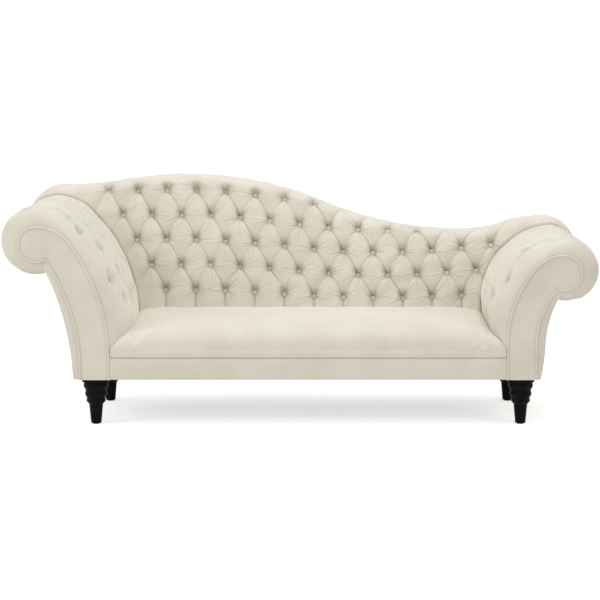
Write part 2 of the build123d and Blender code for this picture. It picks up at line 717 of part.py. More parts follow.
with BuildPart() as back_uprights:
    extrude(below_top_line(-BACK_FRAME, frame_inset + TOP_RAIL), amount=BACK_FRAME)
    with BuildSketch(BACK):
        for i in range(UPRIGHTS):
            upright_x = end_board_x["left"] + frame_span * (i + 1) / (UPRIGHTS + 1)
            with Locations((upright_x, TOP_RAIL)):
                Rectangle(POST, PEAK_Z, align=(Align.CENTER, Align.MIN))
    extrude(amount=-BACK_FRAME, mode=Mode.INTERSECT)
save(back_uprights.part, "back_uprights")

with BuildPart() as back_webbing:
    with BuildSketch(BACK):
        for i in range(WEB_STRAPS):
            strap_v = BACK_PAD_BOTTOM + WEB_WIDTH + i * WEB_PITCH
            with Locations((frame_middle, strap_v)):
                Rectangle(frame_span + END_BOARD_IN, WEB_WIDTH)
    extrude(amount=WEB)
save(back_webbing.part, "back_webbing")

# Foam
rooms = [arm_room(arm) for arm in ARMS]
pad_foot = BACK.from_local_coords((0, BACK_PAD_BOTTOM, 0))
below_pad = Plane(origin=pad_foot, x_dir=(1, 0, 0), z_dir=BACK.y_dir)

with BuildPart() as back_foam:
    extrude(back_face(WEB + FIT, CAP_WALL), amount=BACK_FOAM)
    add(rooms, mode=Mode.SUBTRACT)
    split(bisect_by=below_pad, keep=Keep.TOP)
save(back_foam.part, "back_foam")

for arm in ARMS:
    with BuildPart() as arm_foam:
        extrude(scroll_face(arm, ROLL_FRONT + ARM_FOAM_SETBACK, SKIN + ARM_FOAM), amount=arm.back(DEPTH))
        extrude(scroll_face(arm, ROLL_FRONT, SKIN + FIT), amount=arm.back(DEPTH), mode=Mode.SUBTRACT)
        split(bisect_by=PAD_FLOOR, keep=Keep.TOP)
        split(bisect_by=BACK.offset(FIT), keep=Keep.TOP)
    save(arm_foam.part, f"{arm.name}_arm_foam")

seat_foam_sides = (SEAT_LEFT + LEFT.pad + SEAT_COVER, SEAT_RIGHT - RIGHT.pad - SEAT_COVER)
seat_foam = seat_form(*seat_foam_sides, SEAT_FOAM_DROP, SEAT_COVER)
save(seat_foam, "seat_foam")

# Seat suspension
spring_pitch = (SEAT_SPAN - 2 * RAIL) / SPRINGS
spring_xs = [SEAT_LEFT + RAIL + spring_pitch * (i + 0.5) for i in range(SPRINGS)]
spring_front = RAIL_FRONT + RAIL / 2
spring_rear = BACK_FOOT_Y + (RAIL_TOP - LEG_HEIGHT) * SIN_LEAN / COS_LEAN - RAIL / 2
spring_step = (spring_rear - spring_front - 2 * SPRING_LEAD) / SPRING_LOOPS

with BuildPart() as seat_springs:
    with BuildSketch(Plane.XY.offset(RAIL_TOP)):
        for x in spring_xs:
            swings = [
                (x + SPRING_SWING * (-1) ** i, spring_front + SPRING_LEAD + spring_step * (i + 0.5))
                for i in range(SPRING_LOOPS)
            ]
            first = (x, spring_front + SPRING_LEAD)
            last = (x, spring_rear - SPRING_LEAD)
            with BuildLine():
                Polyline((x, spring_front), first, *swings, last, (x, spring_rear))
            trace(line_width=SPRING_WIRE)
    extrude(amount=SPRING_WIRE)
save(seat_springs.part, "seat_springs")

with BuildPart() as spring_clips:
    with BuildSketch(Plane.XY.offset(RAIL_TOP)):
        with Locations(*[(x, y) for x in spring_xs for y in (spring_front, spring_rear)]):
            Rectangle(CLIP_X, CLIP_Y)
    extrude(amount=CLIP_Z)
    with BuildSketch(Plane.XY.offset(RAIL_TOP)):
        with Locations(*[(x, y) for x in spring_xs for y in (spring_front, spring_rear)]):
            Rectangle(SPRING_WIRE + 2 * BOLT_ROOM, CLIP_Y)
    extrude(amount=SPRING_WIRE + BOLT_ROOM, mode=Mode.SUBTRACT)
save(spring_clips.part, "spring_clips")

felt_front = RAIL_BACK + FELT
felt_rear = spring_rear - RAIL / 2 - FELT
with BuildPart() as seat_felt:
    with BuildSketch(Plane.XY.offset(RAIL_TOP + SPRING_WIRE)):
        with Locations((SEAT_MIDDLE, felt_front)):
            Rectangle(SEAT_SPAN - 2 * RAIL, felt_rear - felt_front, align=(Align.CENTER, Align.MIN))
    extrude(amount=FELT)
save(seat_felt.part, "seat_felt")

# Seat cover, border and the cord between them
with BuildPart() as seat_cover:
    add(seat_form(SEAT_LEFT + WELT, SEAT_RIGHT - WELT, SEAT_END_DROP, 0))
    foam_left, foam_right = seat_foam_sides
    add(
        seat_form(foam_left - FIT, foam_right + FIT, SEAT_FOAM_DROP, SEAT_COVER - FIT),
        mode=Mode.SUBTRACT,
    )
    for arm in ARMS:
        add(rounded_roll(arm, FIT), mode=Mode.SUBTRACT)
save(seat_cover.part, "seat_cover")

border_span = SEAT_SPAN - WELT - 2 * FIT
with BuildPart() as front_border:
    with BuildSketch(BODY_FLOOR):
        with Locations((SEAT_MIDDLE, SEAT_FRONT)):
            Rectangle(border_span, BORDER, align=(Align.CENTER, Align.MIN))
    extrude(amount=BORDER_TOP - LEG_HEIGHT)
save(front_border.part, "front_border")

with BuildPart() as seat_seam_cord:
    with BuildSketch(Plane.YZ.offset(SEAT_MIDDLE)):
        with Locations((SEAT_FRONT + SEAM_CORD / 2, BORDER_TOP + SEAM_CORD / 2)):
            Circle(SEAM_CORD / 2)
    extrude(amount=border_span / 2, both=True)
save(seat_seam_cord.part, "seat_seam_cord")

# Arm facings, welts and outside panels
for arm in ARMS:
    tuck = -(WELT / 2 + WELT_TUCK)
    with BuildPart() as facing:
        extrude(scroll_face(arm, FRONT + FACING_PROUD, tuck, tuck), amount=arm.back(FACING))
    save(facing.part, f"{arm.name}_arm_facing")

    with BuildPart() as welt:
        for edge in welt_edges(arm):
            with BuildSketch(Plane(origin=edge @ 0, z_dir=edge % 0)) as cord:
                RegularPolygon(WELT / 2, WELT_SIDES)
            sweep(cord.sketch, path=edge)
    save(welt.part, f"{arm.name}_facing_welt")

    with BuildPart() as outside_arm:
        faces = [
            scroll_face(arm, ROLL_FRONT + set_back, 0, OUTSIDE_ARM - inset)
            for inset, set_back in rounding(OUTSIDE_ROUND)
        ]
        loft([*faces, scroll_face(arm, DEPTH / 2, 0, OUTSIDE_ARM)], ruled=True)
        extrude(scroll_face(arm, FRONT, FIT, FIT), amount=arm.back(DEPTH), mode=Mode.SUBTRACT)
        with BuildSketch(arm.plane(FRONT)) as roll:
            with Locations((arm.roll_u, arm.roll_z)):
                Circle(arm.roll_r + FIT)
        extrude(roll.sketch, amount=arm.back(DEPTH), mode=Mode.SUBTRACT)
        split(bisect_by=BACK.offset(FIT), keep=Keep.TOP)
    save(outside_arm.part, f"{arm.name}_outside_arm")

# Legs
with BuildPart() as leg:
    with BuildSketch(Plane.XZ):
        with BuildLine():
            Polyline(
                (0, GLIDE),
                (LEG_FOOT_R, GLIDE),
                (LEG_NECK_R, LEG_TAPER),
            )
            before = (LEG_NECK_R, LEG_TAPER)
            for belly_r, groove_r, height in LEG_RINGS:
                belly = (belly_r, before[1] + height / 2)
                groove = (groove_r, before[1] + height)
                Polyline(before, belly, groove)
                before = groove
            Polyline(
                before,
                (LEG_COLLAR_R, before[1]),
                (LEG_COLLAR_R, LEG_HEIGHT),
                (0, LEG_HEIGHT),
                (0, GLIDE),
            )
        make_face()
    revolve(axis=Axis.Z)
    with BuildSketch(BODY_FLOOR):
        Circle(BOLT_R + BOLT_ROOM)
    extrude(amount=-BOLT_IN_LEG, mode=Mode.SUBTRACT)

for name, leg_y in (("front_legs", LEG_FRONT_Y), ("rear_legs", LEG_REAR_Y)):
    with BuildPart() as pair:
        with Locations(*[(x, y) for x, y in leg_spots if y == leg_y]):
            add(leg.part)
    save(pair.part, name)

with BuildPart() as leg_bolts:
    with BuildSketch(Plane.XY.offset(LEG_HEIGHT - BOLT_IN_LEG)):
        with Locations(*leg_spots):
            Circle(BOLT_R)
    extrude(amount=BOLT_IN_LEG + BOLT_IN_RAIL)
save(leg_bolts.part, "leg_bolts")

with BuildPart() as leg_glides:
    with BuildSketch(Plane.XY):
        with Locations(*leg_spots):
            Circle(GLIDE_R)
    extrude(amount=GLIDE)
save(leg_glides.part, "leg_glides")

with BuildPart() as dust_cover:
    with BuildSketch(BODY_FLOOR):
        with Locations((SEAT_MIDDLE, RAIL_FRONT)):
            Rectangle(SEAT_SPAN, BACK_FOOT_Y - RAIL_FRONT, align=(Align.CENTER, Align.MIN))
    extrude(amount=DUST_COVER)
save(dust_cover.part, "dust_cover")

with BuildPart() as outside_back:
    extrude(back_face(-CAP_REAR, CAP_WALL + FIT), amount=OUTSIDE_BACK - FIT)
    split(bisect_by=BODY_FLOOR, keep=Keep.TOP)
save(outside_back.part, "outside_back")

# Tufted back
spots = back_lattice()
back_run = hypot(TUFT_PITCH / 2, ROW_PITCH) - 2 * CREASE_GAP
back_edges = lattice_edges(spots)
for (row, column), (spot, facing) in spots.items():
    if row == len(ROW_COUNTS) - 1:
        back_edges.append((spot, spot - BACK.y_dir * (back_run + 2 * CREASE_GAP), facing))
back_buttons = []
for spot, facing in spots.values():
    depth = TUFT_DEPTH * (1 - TILT_EASE * facing.dot(BACK.y_dir))
    back_buttons.append(Plane(origin=spot - facing * depth, x_dir=(1, 0, 0), z_dir=facing))

with BuildPart() as back_cover:
    add(rounded_back())
    hollow = CAP_REAR + WEB + BACK_FOAM + 2 * FIT
    extrude(back_face(-CAP_REAR, CAP_WALL), amount=hollow, mode=Mode.SUBTRACT)
    add(rooms, mode=Mode.SUBTRACT)
    with BuildSketch(BACK) as under:
        Rectangle(WIDTH, 2 * BACK_PAD_BOTTOM)
    extrude(under.sketch, amount=BACK_PAD, mode=Mode.SUBTRACT)
    split(bisect_by=BODY_FLOOR, keep=Keep.TOP)
    cut_tufts(back_edges, back_buttons, back_run, CREASE_WIDTH, CREASE_DEPTH, DIMPLE_R, TUFT_DEPTH)
save(back_cover.part, "back_cover")
save(button_set(back_buttons), "back_buttons")

# Tufted arms
arm_run = hypot(TUFT_PITCH / 2, ARM_ROW_PITCH) - 2 * CREASE_GAP
for arm in ARMS:
    spots = arm_lattice(arm)
    arm_buttons = [
        Plane(origin=spot - facing * ARM_TUFT_DEPTH, x_dir=(0, 1, 0), z_dir=facing)
        for spot, facing in spots.values()
    ]
    with BuildPart() as arm_cover:
        add(rounded_roll(arm))
        extrude(scroll_face(arm, FRONT, SKIN + FIT), amount=arm.back(DEPTH), mode=Mode.SUBTRACT)
        extrude(
            scroll_face(arm, ROLL_FRONT + ARM_FOAM_SETBACK - FIT, SKIN + ARM_FOAM + FIT),
            amount=arm.back(DEPTH),
            mode=Mode.SUBTRACT,
        )
        cut_tufts(
            lattice_edges(spots, ARM_CREASE_LIFT),
            arm_buttons,
            arm_run,
            ARM_CREASE_WIDTH,
            ARM_CREASE_DEPTH,
            ARM_DIMPLE_R,
            ARM_TUFT_DEPTH,
        )
    save(arm_cover.part, f"{arm.name}_arm_cover")
    save(button_set(arm_buttons), f"{arm.name}_arm_buttons")
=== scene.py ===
"""Chaise longue in ivory velvet: a diamond-tufted serpentine back, two scroll arms and turned black legs."""

import json
import logging
import math
from dataclasses import dataclass
from enum import Enum
from typing import Callable, Optional, Sequence

import bmesh
import bpy
import numpy as np
from mathutils import Matrix, Vector


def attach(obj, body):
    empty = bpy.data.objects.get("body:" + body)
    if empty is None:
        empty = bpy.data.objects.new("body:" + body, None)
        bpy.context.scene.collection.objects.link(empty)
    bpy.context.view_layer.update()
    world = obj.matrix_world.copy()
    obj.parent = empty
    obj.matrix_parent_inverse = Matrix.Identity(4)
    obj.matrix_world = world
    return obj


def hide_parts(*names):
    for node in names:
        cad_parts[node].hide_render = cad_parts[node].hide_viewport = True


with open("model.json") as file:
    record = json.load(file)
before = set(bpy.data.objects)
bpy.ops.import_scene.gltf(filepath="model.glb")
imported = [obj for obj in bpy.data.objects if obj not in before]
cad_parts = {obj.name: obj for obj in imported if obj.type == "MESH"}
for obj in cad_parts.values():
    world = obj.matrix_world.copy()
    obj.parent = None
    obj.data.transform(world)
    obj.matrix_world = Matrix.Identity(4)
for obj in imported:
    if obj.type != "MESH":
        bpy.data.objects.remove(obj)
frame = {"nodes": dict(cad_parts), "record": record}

LOG = logging.getLogger("chaise_longue")
MM = 0.001
BODY = "root"
SEED = 7
WELD = 0.00002  # vertices nearer than this become one, in metres
MIX_A, MIX_B, MIXED = 6, 7, 2  # colour sockets of the mix node

FRONT_GAP = 9.5  # from the front of the facings to the covers behind them, in mm
REAR_GAP = 0.6  # between the arms and the plane of the back, in mm
BUTTON_PITCH = 64.0  # half the distance between the buttons of a row, in mm
BUTTON_RADIUS, BUTTON_HEIGHT = 11.5, 6.0
WELT_RADIUS, SEAM_RADIUS = 4.5, 2.5
SWELL_FRAMES = 20
FOLD_HOLD = 2.5  # how much more firmly the folds are held while a cover swells
SPARE_CLOTH = 0.03  # share of the cloth that gathers into wrinkles

Array = np.ndarray
Shape = Callable[[Array, Array], Array]


class Slot(Enum):
    """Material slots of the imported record."""

    VELVET = "ivory_velvet"
    LACQUER = "black_lacquer"
    BEECH = "beech"
    HARDBOARD = "hardboard"
    FOAM = "foam"
    FELT = "felt"
    WEBBING = "webbing"
    DUST_CLOTH = "dust_cloth"
    STEEL = "steel"
    GLIDE = "glide_nylon"
    CLIP = "clip_plastic"


# Small helpers


def linear(code: str) -> tuple[float, float, float, float]:
    """Turn an sRGB hex colour into linear values.

    Args:
        code: six hex digits, with or without a hash.

    Returns:
        Linear red, green, blue and an alpha of one.
    """
    code = code.lstrip("#")
    channels = [int(code[i : i + 2], 16) / 255 for i in (0, 2, 4)]
    bent = [c / 12.92 if c <= 0.04045 else ((c + 0.055) / 1.055) ** 2.4 for c in channels]
    return (*bent, 1.0)


def smooth(x: Array) -> Array:
    """Ease from nought to one, flat at both ends."""
    x = np.clip(x, 0.0, 1.0)
    return x * x * (3 - 2 * x)


def rounding(away: Array, reach: float) -> Array:
    """Quarter-round fall from one at an edge to nought at its reach."""
    return 1 - np.sqrt(1 - (1 - np.clip(away / reach, 0, 1)) ** 2)


class Ripples:
    """Soft irregular waves, the same in every run."""

    def __init__(self, wavelength: float, seed: int, waves: int = 9) -> None:
        """Choose the waves.

        Args:
            wavelength: mean length of a wave in mm.
            seed: number that fixes the choice.
            waves: how many waves are added up.
        """
        chance = np.random.default_rng(SEED + seed)
        turn = chance.uniform(0, 2 * np.pi, waves)
        pull = 2 * np.pi / (wavelength * chance.uniform(0.6, 1.6, waves))
        self.along = pull * np.cos(turn)
        self.across = pull * np.sin(turn)
        self.start = chance.uniform(0, 2 * np.pi, waves)

    def at(self, x: Array, y: Array) -> Array:
        """Height of the waves, about minus one to one."""
        total = np.zeros_like(x)
        for a, b, c in zip(self.along, self.across, self.start):
            total += np.sin(a * x + b * y + c)
        return total / math.sqrt(len(self.start))


def add_node(tree: bpy.types.NodeTree, kind: str, links: Optional[dict] = None, **settings) -> bpy.types.Node:
    """Add a shader node with its settings and links.

    Args:
        tree: node tree that gets the node.
        kind: Blender's identifier of the node.
        links: input name or number to an output socket.
        settings: node properties, or input values by socket name with underscores for spaces.

    Returns:
        The new node.
    """
    node = tree.nodes.new(kind)
    for key, value in settings.items():
        if hasattr(node, key):
            setattr(node, key, value)
        else:
            node.inputs[key.replace("_", " ")].default_value = value
    for key, socket in (links or {}).items():
        tree.links.new(socket, node.inputs[key])
    return node


# Finishes


@dataclass(frozen=True)
class Finish:
    """A surface built from two tones, a pattern of a real size and a fine relief."""

    name: str
    tone: str
    other_tone: str
    roughness: float
    patch_mm: float  # size of the tone changes
    relief_mm: float  # size of the fine relief
    relief_depth_mm: float
    stretch: tuple[float, float, float] = (1.0, 1.0, 1.0)  # grain runs along the smallest value
    metallic: float = 0.0
    sheen: float = 0.0
    gloss: float = 0.5
    painted_shade_colour: Optional[str] = None  # colour of the shade painted deep in the folds and dimples, read from the piece's own attribute

    def build(self) -> bpy.types.Material:
        """Make the material.

        Returns:
            The finished material.
        """
        material = bpy.data.materials.new(self.name)
        material.use_nodes = True
        tree = material.node_tree
        tree.nodes.clear()
        place = add_node(tree, "ShaderNodeTexCoord")
        turned = add_node(tree, "ShaderNodeMapping", {"Vector": place.outputs["Object"]}, Scale=self.stretch)
        where = {"Vector": turned.outputs["Vector"]}
        patches = add_node(
            tree, "ShaderNodeTexNoise", where, Scale=1 / (self.patch_mm * MM), Detail=4.0, Roughness=0.55
        )
        spread = add_node(
            tree, "ShaderNodeMapRange", {"Value": patches.outputs["Fac"]}, From_Min=0.32, From_Max=0.68
        )
        colour = add_node(tree, "ShaderNodeMix", {"Factor": spread.outputs["Result"]}, data_type="RGBA")
        colour.inputs[MIX_A].default_value = linear(self.tone)
        colour.inputs[MIX_B].default_value = linear(self.other_tone)
        surface = colour.outputs[MIXED]
        # Painted shade: the colour darkens towards the shade colour where the piece's fold attribute marks
        # creases and dimples
        if self.painted_shade_colour:
            folds = add_node(tree, "ShaderNodeAttribute", attribute_name="fold")
            links = {"Factor": folds.outputs["Fac"], MIX_A: surface}
            shaded = add_node(tree, "ShaderNodeMix", links, data_type="RGBA")
            shaded.inputs[MIX_B].default_value = linear(self.painted_shade_colour)
            surface = shaded.outputs[MIXED]
        grain = add_node(
            tree, "ShaderNodeTexNoise", where, Scale=1 / (self.relief_mm * MM), Detail=3.0, Roughness=0.6
        )
        relief = add_node(
            tree, "ShaderNodeBump", {"Height": grain.outputs["Fac"]},
            Strength=0.6, Distance=self.relief_depth_mm * MM,
        )
        rough = add_node(
            tree, "ShaderNodeMapRange", {"Value": grain.outputs["Fac"]},
            To_Min=self.roughness - 0.07, To_Max=min(self.roughness + 0.07, 1.0),
        )
        links = {
            "Base Color": surface, "Roughness": rough.outputs["Result"], "Normal": relief.outputs["Normal"]
        }
        shader = add_node(
            tree, "ShaderNodeBsdfPrincipled", links,
            Metallic=self.metallic, Sheen_Weight=self.sheen, Specular_IOR_Level=self.gloss,
        )
        if self.sheen:
            shader.inputs["Sheen Roughness"].default_value = 0.5
            shader.inputs["Sheen Tint"].default_value = linear("#FFFCF4")
        add_node(tree, "ShaderNodeOutputMaterial", {"Surface": shader.outputs["BSDF"]})
        return material


# Each with its name, two tones, roughness, and patch, relief and relief depth in mm
FINISHES = {
    # Cotton velvet, cut pile: matt face, pale bloom where it turns away, broad nap strokes, and shade painted
    # darker deep in its folds
    Slot.VELVET: Finish(
        "velvet_ivory_cut_pile", "#DAD4C5", "#D2CBBB", 0.88, 140.0, 2.2, 0.35,
        sheen=0.7, gloss=0.12, painted_shade_colour="#8C8166",
    ),
    # Turned beech in satin black lacquer: dark with a soft highlight and a faint trace of grain
    Slot.LACQUER: Finish(
        "lacquer_black_satin", "#0B0A0A", "#100F0E", 0.48, 30.0, 5.0, 0.08, (1.0, 1.0, 0.15), gloss=0.05
    ),
    # Planed beech, unfinished: pale pinkish brown with long grain
    Slot.BEECH: Finish("beech_planed", "#C79F72", "#B5895B", 0.62, 22.0, 3.0, 0.2, (0.1, 1.0, 1.0)),
    # Hardboard, smooth side: dark brown and even
    Slot.HARDBOARD: Finish("hardboard_smooth", "#6B4A30", "#5C3F29", 0.55, 60.0, 3.0, 0.1),
    # Cut foam: warm white, open cells
    Slot.FOAM: Finish("foam_open_cell", "#E9DFC4", "#DED1B0", 0.95, 40.0, 2.5, 0.6),
    # Needled felt: mixed grey fibres
    Slot.FELT: Finish("felt_needled", "#7A7975", "#64635F", 0.97, 9.0, 3.0, 0.6),
    # Elastic webbing: black woven bands
    Slot.WEBBING: Finish("webbing_woven", "#262524", "#34312E", 0.85, 12.0, 4.0, 0.4, (0.2, 1.0, 1.0)),
    # Non-woven dust cloth: thin matt black
    Slot.DUST_CLOTH: Finish("cloth_non_woven", "#1B1B1B", "#262626", 0.93, 18.0, 3.0, 0.2),
    # Drawn steel wire and zinc-plated bolts
    Slot.STEEL: Finish(
        "steel_drawn", "#A9AAAC", "#989A9D", 0.36, 20.0, 3.0, 0.05, (1.0, 0.2, 1.0), metallic=1.0
    ),
    # Moulded nylon glide and plastic clip
    Slot.GLIDE: Finish("nylon_moulded", "#1A1A1A", "#222222", 0.5, 15.0, 2.0, 0.05),
    Slot.CLIP: Finish("plastic_moulded", "#D5D3CC", "#CAC8C0", 0.5, 15.0, 2.0, 0.05),
}


def face_outwards(bm: bmesh.types.BMesh) -> None:
    """Turn the faces of an open shell away from its middle."""
    middle = sum((vert.co for vert in bm.verts), Vector()) / len(bm.verts)
    bm.normal_update()
    side = sum(
        face.calc_area() * face.normal.dot(face.calc_center_median() - middle) for face in bm.faces
    )
    if side < 0:
        bmesh.ops.reverse_faces(bm, faces=bm.faces)


class Workshop:
    """Turns shapes into dressed pieces that ride on the object."""

    def __init__(self) -> None:
        """Make every finish once."""
        self.materials = {slot: finish.build() for slot, finish in FINISHES.items()}

    def dress(
        self, piece: bpy.types.Object, slot: Slot, nodes: Sequence[str] = (), fill: Optional[float] = None
    ) -> None:
        """Give a piece its finish and its place on the object, and hide the solids it replaces.

        Args:
            piece: object to dress.
            slot: material slot of the record.
            nodes: solids that the piece replaces.
            fill: how full a padded piece is, or None for a piece that isn't padded; not used.
        """
        piece.data.materials.clear()
        piece.data.materials.append(self.materials[slot])
        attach(piece, BODY)
        if nodes:
            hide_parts(*nodes)
        LOG.info("%s: %d faces", piece.name, len(piece.data.polygons))

    def piece(self, name: str, bm: bmesh.types.BMesh) -> bpy.types.Object:
        """Turn a bmesh into a smooth-shaded object in the scene.

        Args:
            name: name of the piece.
            bm: its mesh, in metres, which is freed.

        Returns:
            The new object.
        """
        mesh = bpy.data.meshes.new(name)
        bm.to_mesh(mesh)
        bm.free()
        mesh.shade_smooth()
        obj = bpy.data.objects.new(name, mesh)
        bpy.context.scene.collection.objects.link(obj)
        return obj

    def grid(self, columns: int, rows: int) -> tuple[bmesh.types.BMesh, Array]:
        """Make a flat grid.

        Args:
            columns: faces along the first direction.
            rows: faces along the second direction.

        Returns:
            The mesh, and each vertex's place from nought to one in both directions.
        """
        bm = bmesh.new()
        bmesh.ops.create_grid(bm, x_segments=columns, y_segments=rows, size=0.5)
        return bm, np.array([vert.co[:2] for vert in bm.verts]) + 0.5

    def padding(self, name: str, columns: int, rows: int, shape: Shape, node: str, fill: float) -> None:
        """Bend a grid into a padded surface and dress it in velvet.

        Args:
            name: name of the piece.
            columns: faces along the first direction.
            rows: faces along the second direction.
            shape: gives points in mm for places from nought to one in both directions, and may
                give in a fourth column the shade painted at each point, deepest in a fold, from nought to
                one.
            node: solid that the piece replaces.
            fill: how full it is.
        """
        bm, places = self.grid(columns, rows)
        points = shape(places[:, 0], places[:, 1])
        folds = bm.verts.layers.float.new("fold")
        for vert, point in zip(bm.verts, points):
            vert.co = point[:3] * MM
            vert[folds] = point[3] if len(point) > 3 else 0.0
        bmesh.ops.remove_doubles(bm, verts=bm.verts, dist=WELD)
        bmesh.ops.dissolve_degenerate(bm, edges=bm.edges, dist=WELD)
        face_outwards(bm)
        self.dress(self.piece(name, bm), Slot.VELVET, (node,), fill)

    def swell(
        self, columns: int, rows: int, shape: Shape, held: Shape, pressure: float, cap: float
    ) -> Shape:
        """Blow up a coarse copy of a padded surface as cloth, and carry its moves over.

        Args:
            columns: faces of the copy along the first direction.
            rows: faces of the copy along the second direction.
            shape: the padded surface.
            held: how firmly each place is held, from nought to one.
            pressure: how hard the filling pushes.
            cap: farthest that a point may move, in mm.

        Returns:
            The surface with those moves added.
        """
        bm, places = self.grid(columns, rows)
        start = shape(places[:, 0], places[:, 1])[:, :3]
        for vert, point in zip(bm.verts, start):
            vert.co = point * MM
        face_outwards(bm)
        trial = self.piece("swelling", bm)
        group = trial.vertex_groups.new(name="held")
        for index, weight in enumerate(held(places[:, 0], places[:, 1])):
            if weight > 0:
                group.add([index], float(weight), "REPLACE")
        cloth = trial.modifiers.new("cloth", "CLOTH")
        settings = cloth.settings
        settings.quality = 4
        settings.vertex_group_mass = group.name
        settings.use_pressure = True
        settings.uniform_pressure_force = pressure
        settings.shrink_min = -SPARE_CLOTH
        settings.effector_weights.gravity = 0.0
        cloth.collision_settings.use_collision = False
        scene = bpy.context.scene
        for number in range(1, SWELL_FRAMES + 1):
            scene.frame_set(number)
        settled = trial.evaluated_get(bpy.context.evaluated_depsgraph_get()).data
        moves = np.array([vert.co for vert in settled.vertices]) / MM - start
        far = np.maximum(np.linalg.norm(moves, axis=1), 1e-6)
        moves *= np.minimum(1.0, cap / far)[:, None]
        LOG.info("cloth moved by up to %.1f mm, %.1f mm on average", far.max(), far.mean())
        field = np.zeros((columns + 1, rows + 1, 3))
        index = np.rint(places * (columns, rows)).astype(int)
        field[index[:, 0], index[:, 1]] = moves
        scene.frame_set(1)
        mesh = trial.data
        bpy.data.objects.remove(trial)
        bpy.data.meshes.remove(mesh)

        def swollen(a: Array, b: Array) -> Array:
            """Points of the surface with the cloth's moves added."""
            points = shape(a, b)
            x, y = a * columns, b * rows
            i = np.clip(x.astype(int), 0, columns - 1)
            j = np.clip(y.astype(int), 0, rows - 1)
            p, q = (x - i)[:, None], (y - j)[:, None]
            low = field[i, j] * (1 - p) + field[i + 1, j] * p
            high = field[i, j + 1] * (1 - p) + field[i + 1, j + 1] * p
            points[:, :3] += low * (1 - q) + high * q
            return points

        return swollen

    def cord(self, name: str, path: Array, radius: float) -> bpy.types.Object:
        """Make a round cord along a path.

        Args:
            name: name of the piece.
            path: points in mm.
            radius: radius of the cord in mm.

        Returns:
            The new object.
        """
        curve = bpy.data.curves.new(name, "CURVE")
        curve.dimensions = "3D"
        curve.bevel_depth = radius * MM
        curve.bevel_resolution = 3
        curve.use_fill_caps = True
        line = curve.splines.new("POLY")
        line.points.add(len(path) - 1)
        for point, place in zip(line.points, path):
            point.co = (*(place * MM), 1.0)
        holder = bpy.data.objects.new(name + "_path", curve)
        mesh = bpy.data.meshes.new_from_object(holder)
        bpy.data.objects.remove(holder)
        bm = bmesh.new()
        bm.from_mesh(mesh)
        bpy.data.meshes.remove(mesh)
        return self.piece(name, bm)

    def softened(self, name: str, node: str, ease: float) -> bpy.types.Object:
        """Copy a solid and round its edges.

        Args:
            name: name of the piece.
            node: solid to copy.
            ease: width of the rounding in mm.

        Returns:
            The new object.
        """
        bm = bmesh.new()
        bm.from_mesh(frame["nodes"][node].data)
        bmesh.ops.remove_doubles(bm, verts=bm.verts, dist=0.00005)
        bmesh.ops.dissolve_limit(bm, angle_limit=math.radians(2), verts=bm.verts, edges=bm.edges)
        sharp = [e for e in bm.edges if e.is_manifold and e.calc_face_angle(0.0) > math.radians(50)]
        bmesh.ops.bevel(
            bm, geom=sharp, offset=ease * MM, affect="EDGES", segments=3, profile=0.5, material=-1,
            clamp_overlap=True,
        )
        bmesh.ops.triangulate(bm, faces=[f for f in bm.faces if len(f.verts) > 4])
        return self.piece(name, bm)


# The leaning back


